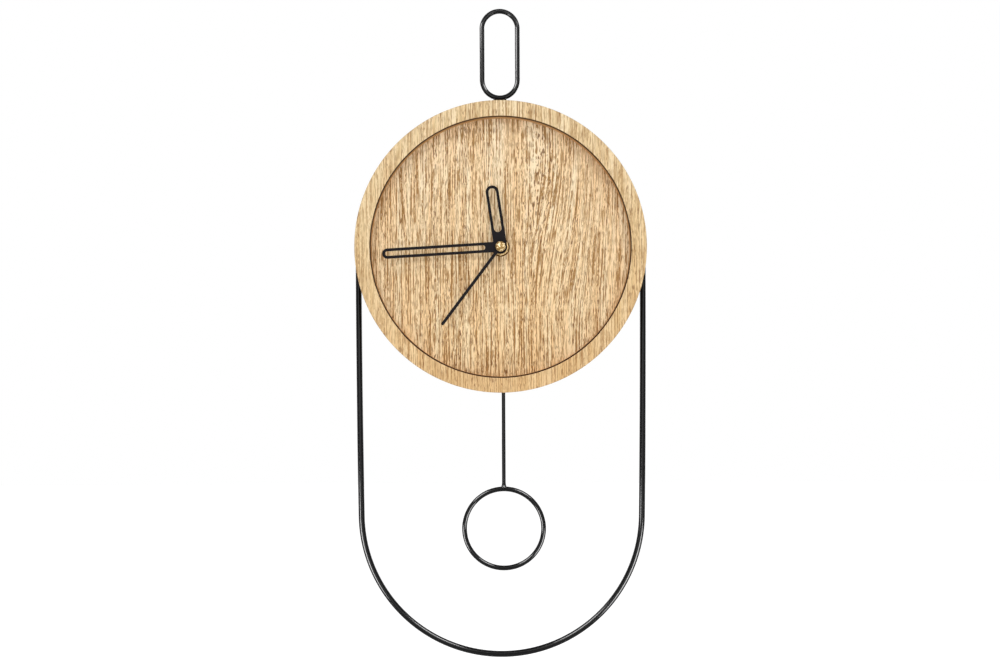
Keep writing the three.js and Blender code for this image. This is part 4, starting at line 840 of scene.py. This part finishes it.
def flat_blade(name, loops, thickness):
    """A flat blade from outlines in its own plane, with finely rounded edges."""
    curve = bpy.data.curves.new(name, "CURVE")
    curve.dimensions = "2D"
    curve.fill_mode = "BOTH"
    curve.extrude = thickness / 2 - HAND_BEVEL
    curve.bevel_depth = HAND_BEVEL
    curve.bevel_resolution = 2
    curve.offset = -HAND_BEVEL
    for loop in loops:
        spline = curve.splines.new("POLY")
        spline.points.add(len(loop) - 1)
        for point, (x, z) in zip(spline.points, loop):
            point.co = (x, z, 0, 1)
        spline.use_cyclic_u = True
    mesh = evaluated(name, curve)
    mesh.transform(Matrix.Rotation(math.radians(90), 4, "X"))
    return mesh


def collet(radius, front, back):
    """The sleeve behind a hand's hub, with its rear edge rounded."""
    wall, rounding = 0.7 * MM, 0.2 * MM
    profile = [
        (radius - wall, front),
        (radius, front),
        *quarter(radius - rounding, back - rounding, rounding, 0, 3),
        (radius - wall, back),
    ]
    return revolved("collet", profile, axis, 48)


def hand(node, thickness, half_width, hub, slot=None):
    """A hand with a round tip and hub. Its slot, if any, is given by its start and half its width."""
    collet_share = 0.62  # of the hub's radius
    length, angle = pointing(node)
    low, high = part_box(node)
    centre_y = low.y + thickness / 2
    shoulder = math.sqrt(max(hub * hub - half_width * half_width, 0))
    lean = math.degrees(math.atan2(shoulder, half_width))
    tip = length - half_width
    hub_arc = arc(0, 0, max(hub, half_width), 180 - lean, 180 + 2 * lean, 36)
    loops = [arc(0, tip, half_width, 0, 180) + hub_arc]
    if slot:
        start, slot_half = slot
        loops.append(arc(0, tip, slot_half, 0, 180) + arc(0, start + slot_half, slot_half, 180, 180))
    mesh = flat_blade(node + "_fine", loops, thickness)
    mesh.transform(Matrix.Rotation(angle, 4, "Y"))
    mesh.transform(Matrix.Translation((axis.x, centre_y, axis.z)))
    deeper_than_blade = high.y - low.y > thickness + 0.1 * MM
    if deeper_than_blade:
        mesh = merged(node + "_fine", [mesh, collet(hub * collet_share, centre_y, high.y)])
    replace_node(node + "_fine", mesh, node, sharp=40)


def seconds_cap():
    """The brass cap: a low dome with a rounded edge, bored from behind."""
    low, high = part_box("seconds_cap")
    radius = (high.x - low.x) / 2
    dome_rise, dome_radius = 0.3 * MM, radius * 0.84
    rounding, rounding_depth = 0.6 * MM, 0.95 * MM
    chamfer = 0.2 * MM
    bore, bore_depth = 0.9 * MM, 1 * MM
    profile = [(0, low.y)]
    for i in range(1, 9):
        share = i / 8
        profile.append((dome_radius * share, low.y + dome_rise * share * share))
    profile += quarter(radius - rounding, low.y + rounding_depth, rounding, 270, 5)
    profile += [
        (radius, high.y - chamfer),
        (radius - chamfer, high.y),
        (bore, high.y),
        (bore, high.y - bore_depth),
        (0, high.y - bore_depth),
    ]
    cap = revolved("seconds_cap_fine", profile, axis, 64)
    replace_node("seconds_cap_fine", cap, "seconds_cap", sharp=50)


def centre_bush():
    """The bush, its thread drawn as fine ridges in front of its flange."""
    low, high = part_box("centre_bush")
    flange_width, flange_thickness = 3 * MM, 1 * MM
    pitch, crest, thread_depth = 0.75 * MM, 0.12 * MM, 0.4 * MM
    lead_in = 0.5 * MM
    bore = 2.9 * MM
    flange = (high.x - low.x) / 2
    outer = flange - flange_width
    flange_front = high.y - flange_thickness
    profile = [(bore, low.y), (outer - lead_in, low.y)]
    y = low.y + thread_depth
    while y < flange_front - pitch:
        profile += [(outer, y), (outer, y + crest), (outer - thread_depth, y + pitch / 2)]
        y += pitch
    profile += [(outer, flange_front), (flange, flange_front), (flange, high.y), (bore, high.y)]
    bush = revolved("centre_bush_fine", profile, axis, 64)
    replace_node("centre_bush_fine", bush, "centre_bush", sharp=25)


def brass_washer():
    """A washer whose front slopes away in a wide bevel, painted dark as a dark reflection."""
    low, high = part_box("brass_washer")
    radius = (high.x - low.x) / 2
    bevel_depth, edge = 0.45 * MM, 0.1 * MM
    bevel_start = radius - 1 * MM
    profile = [
        (BUSH_HOLE, low.y),
        (bevel_start, low.y),
        (radius - edge, low.y + bevel_depth),
        (radius, low.y + bevel_depth + edge),
        (radius, high.y),
        (BUSH_HOLE, high.y),
    ]
    washer = revolved("brass_washer_fine", profile, axis, 96)
    replace_node("brass_washer_fine", washer, "brass_washer", materials=[nut_brass, brass_edge], sharp=20)
    for polygon in washer.polygons:
        if polar(polygon.center)[0] > bevel_start:
            polygon.material_index = 1


# Screws and welds


def screw(node, shank, seat_node):
    """A pointed screw whose domed head, with a cross recess, sits on another node's back."""
    low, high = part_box(node)
    about = (low + high) / 2
    radius = (high.x - low.x) / 2
    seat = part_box(seat_node)[1].y
    rise = high.y - seat
    dome = 0.65  # the share of the head's radius and height that is rounded
    profile = [(0, low.y), (shank, low.y + 2 * shank), (shank, seat), (radius, seat)]
    for across, up in arc(1 - dome, 1 - dome, dome, 0, 90, 6):
        profile.append((radius * across, seat + rise * up))
    profile.append((0, high.y))
    mesh = revolved(node + "_fine", profile, about, 40)
    reach, half, depth = radius * 0.55, radius * 0.11, rise * 0.6
    for half_x, half_z in ((reach, half), (half, reach)):
        mesh = cut(mesh, box_mesh(
            (about.x - half_x, high.y - depth, about.z - half_z),
            (about.x + half_x, high.y + rise, about.z + half_z),
        ))
    replace_node(node + "_fine", mesh, node)


def weld_beads():
    """A row of overlapping beads along each tab's outer end, where it meets the wire."""
    count = 6
    bead_radius, bead_half_length = 1.25 * MM, 2 * MM
    past_end, end_margin, below_back = 0.2 * MM, 1.6 * MM, 0.3 * MM
    size = Matrix.Diagonal((bead_radius, bead_radius, bead_half_length, 1))
    for corner in CORNERS:
        node = "frame_tab_" + corner
        centre = middle(node)
        outward = middle("tab_screw_" + corner) - centre  # the screw stands nearer the tab's outer end
        outward.y = 0
        outward.normalize()
        along = Vector((-outward.z, 0, outward.x))
        corners = [vertex.co - centre for vertex in frame["nodes"][node].data.vertices]
        reach = max(place.dot(outward) for place in corners)
        half = max(place.dot(along) for place in corners) - end_margin
        turn = along.to_track_quat("Z", "Y").to_matrix().to_4x4()
        beads = []
        for i in range(count):
            place = centre + outward * (reach + past_end) + along * half * (2 * i / (count - 1) - 1)
            place.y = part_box(node)[1].y - below_back
            bead = bmesh.new()
            bmesh.ops.create_uvsphere(bead, u_segments=24, v_segments=12, radius=1)
            bmesh.ops.transform(bead, matrix=Matrix.Translation(place) @ turn @ size, verts=bead.verts)
            beads.append(from_work(bead, "bead"))
        add_piece("tab_weld_" + corner, merged("tab_weld", beads), node)


def dress_solids():
    """Gives each solid its look, which shows where no piece takes its place."""
    for name, node in frame["nodes"].items():
        node.data.materials.clear()
        node.data.materials.append(LOOKS[slot_of[name]])


dress_solids()
case_ring()
dial_plate()
hanging_loop(frame_wire())
pendulum_rod(pendulum_ring())
hand("hour_hand", 0.8 * MM, half_width=5.2 * MM, hub=5.2 * MM, slot=(11.8 * MM, 2.95 * MM))
hand("minute_hand", 0.8 * MM, half_width=4.05 * MM, hub=5.1 * MM, slot=(12.1 * MM, 1.8 * MM))
hand("seconds_hand", 0.6 * MM, half_width=1.2 * MM, hub=3 * MM)
seconds_cap()
centre_bush()
brass_washer()
refine("brass_nut", 0.25 * MM, sharp=30, materials=[nut_brass])
for number in range(1, 5):
    refine(f"dial_block_{number}", 0.4 * MM)
    screw(f"cover_screw_{number}", 0.8 * MM, "rear_cover")
for corner in CORNERS:
    refine("frame_tab_" + corner, 0.25 * MM)
    screw("tab_screw_" + corner, 1.5 * MM, "frame_tab_" + corner)
weld_beads()
refine("movement_housing", 0.25 * MM)
for node in ("rear_cover", "set_knob", "hanger_lever"):
    refine(node, 0.2 * MM)
refine("battery", 0.3 * MM)


# Camera, light and surroundings


def add_camera():
    camera = bpy.data.cameras.new("camera")
    camera.sensor_width = SENSOR_WIDTH
    camera.lens = SENSOR_WIDTH * CAMERA_DISTANCE / (IMAGE_WIDTH * PIXEL)
    camera.clip_end = VIEW_DEPTH
    eye = bpy.data.objects.new("camera", camera)
    right = (DIAL_CENTRE_PIXEL[0] - IMAGE_WIDTH / 2) * PIXEL
    up = (IMAGE_HEIGHT / 2 - DIAL_CENTRE_PIXEL[1]) * PIXEL
    eye.location = (axis.x - right, rim_front - CAMERA_DISTANCE, axis.z - up)
    eye.rotation_euler = (math.pi / 2, ROLL, 0)
    bpy.context.scene.collection.objects.link(eye)
    bpy.context.scene.camera = eye


def add_lamp(name, place, aim, size, power):
    """An oval softbox."""
    light = bpy.data.lights.new(name, "AREA")
    light.shape = "ELLIPSE"
    light.size, light.size_y = size
    light.energy = power
    lamp = bpy.data.objects.new(name, light)
    lamp.location = place
    lamp.rotation_euler = (Vector(aim) - Vector(place)).to_track_quat("-Z", "Y").to_euler()
    bpy.context.scene.collection.objects.link(lamp)
    return lamp


def add_studio_lamp(name, side, lamp, aim):
    """One of the lamps named above, as it is or, with side -1, on the left."""
    (x, y, above), size, power = lamp
    add_lamp(name, (side * x, y, axis.z + above), aim, size, power)


def add_gleams(aim, pieces):
    """Softboxes in front that only the round wires mirror, as thin lines along them."""
    mirrors = bpy.data.collections.new("wires")
    for piece in pieces:
        mirrors.objects.link(bpy.data.objects[piece])
    off_axis = GLEAM_DISTANCE * math.sin(GLEAM_SLANT)
    in_front = GLEAM_DISTANCE * math.cos(GLEAM_SLANT)
    for direction in GLEAM_DIRECTIONS:
        angle = math.radians(direction)
        place = Vector(aim) + Vector((off_axis * math.cos(angle), -in_front, off_axis * math.sin(angle)))
        lamp = add_lamp(f"gleam_{direction}", place, aim, GLEAM_SIZE, GLEAM_POWER)
        lamp.visible_camera = False
        lamp.visible_diffuse = False
        lamp.light_linking.receiver_collection = mirrors


def seen_directly(tree):
    """1 for the camera's own rays and for those it follows through a mirror or glass, else 0."""
    rays = tree.nodes.new("ShaderNodeLightPath")
    share = rays.outputs["Is Camera Ray"]
    for kind in ("Is Glossy Ray", "Is Transmission Ray"):
        either = tree.nodes.new("ShaderNodeMath")
        either.operation = "MAXIMUM"
        tree.links.new(share, either.inputs[0])
        tree.links.new(rays.outputs[kind], either.inputs[1])
        share = either.outputs[0]
    return share


def by_view(tree, unseen, seen):
    """A level that is one value where the camera looks and another for the light it casts."""
    levels = tree.nodes.new("ShaderNodeMapRange")
    levels.inputs["To Min"].default_value = unseen
    levels.inputs["To Max"].default_value = seen
    tree.links.new(seen_directly(tree), levels.inputs["Value"])
    return levels.outputs[0]


def add_world():
    world = bpy.data.worlds.new("studio")
    world.use_nodes = True
    bpy.context.scene.world = world
    background = world.node_tree.nodes["Background"]
    background.inputs["Color"].default_value = (1, 1, 1, 1)
    world.node_tree.links.new(by_view(world.node_tree, WORLD_LEVEL, 1.0), background.inputs["Strength"])


def add_floor():
    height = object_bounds()[0].z - FLOOR_DROP
    around = ((-1, -1), (1, -1), (1, 1), (-1, 1))
    mesh = new_mesh("floor", [(x * FLOOR_REACH, y * FLOOR_REACH, height) for x, y in around], [(0, 1, 2, 3)])
    floor = bpy.data.objects.new("floor", mesh)
    bpy.context.scene.collection.objects.link(floor)
    shader = Shader("pale_floor", Roughness=0.9)
    shader.set("Base Color", (FLOOR_GREY, FLOOR_GREY, FLOOR_GREY, 1))
    shader.set("Emission Color", (1, 1, 1, 1))
    shader.set("Emission Strength", by_view(shader.tree, 0.0, FLOOR_GLOW))
    mesh.materials.append(shader.material)


add_camera()
add_world()
add_floor()
focus = (axis.x, dial_front, axis.z - FOCUS_DROP)
for name, side in (("left", -1), ("right", 1)):
    add_studio_lamp("side_" + name, side, SIDE_LAMP, focus)
    add_studio_lamp("rear_" + name, side, REAR_LAMP, focus)
add_studio_lamp("key", 1, KEY_LAMP, focus)
add_gleams(focus, ("frame_wire", "loop_wire", "ring_wire", "pendulum_rod_fine"))

bpy.context.scene.view_settings.view_transform = "Standard"
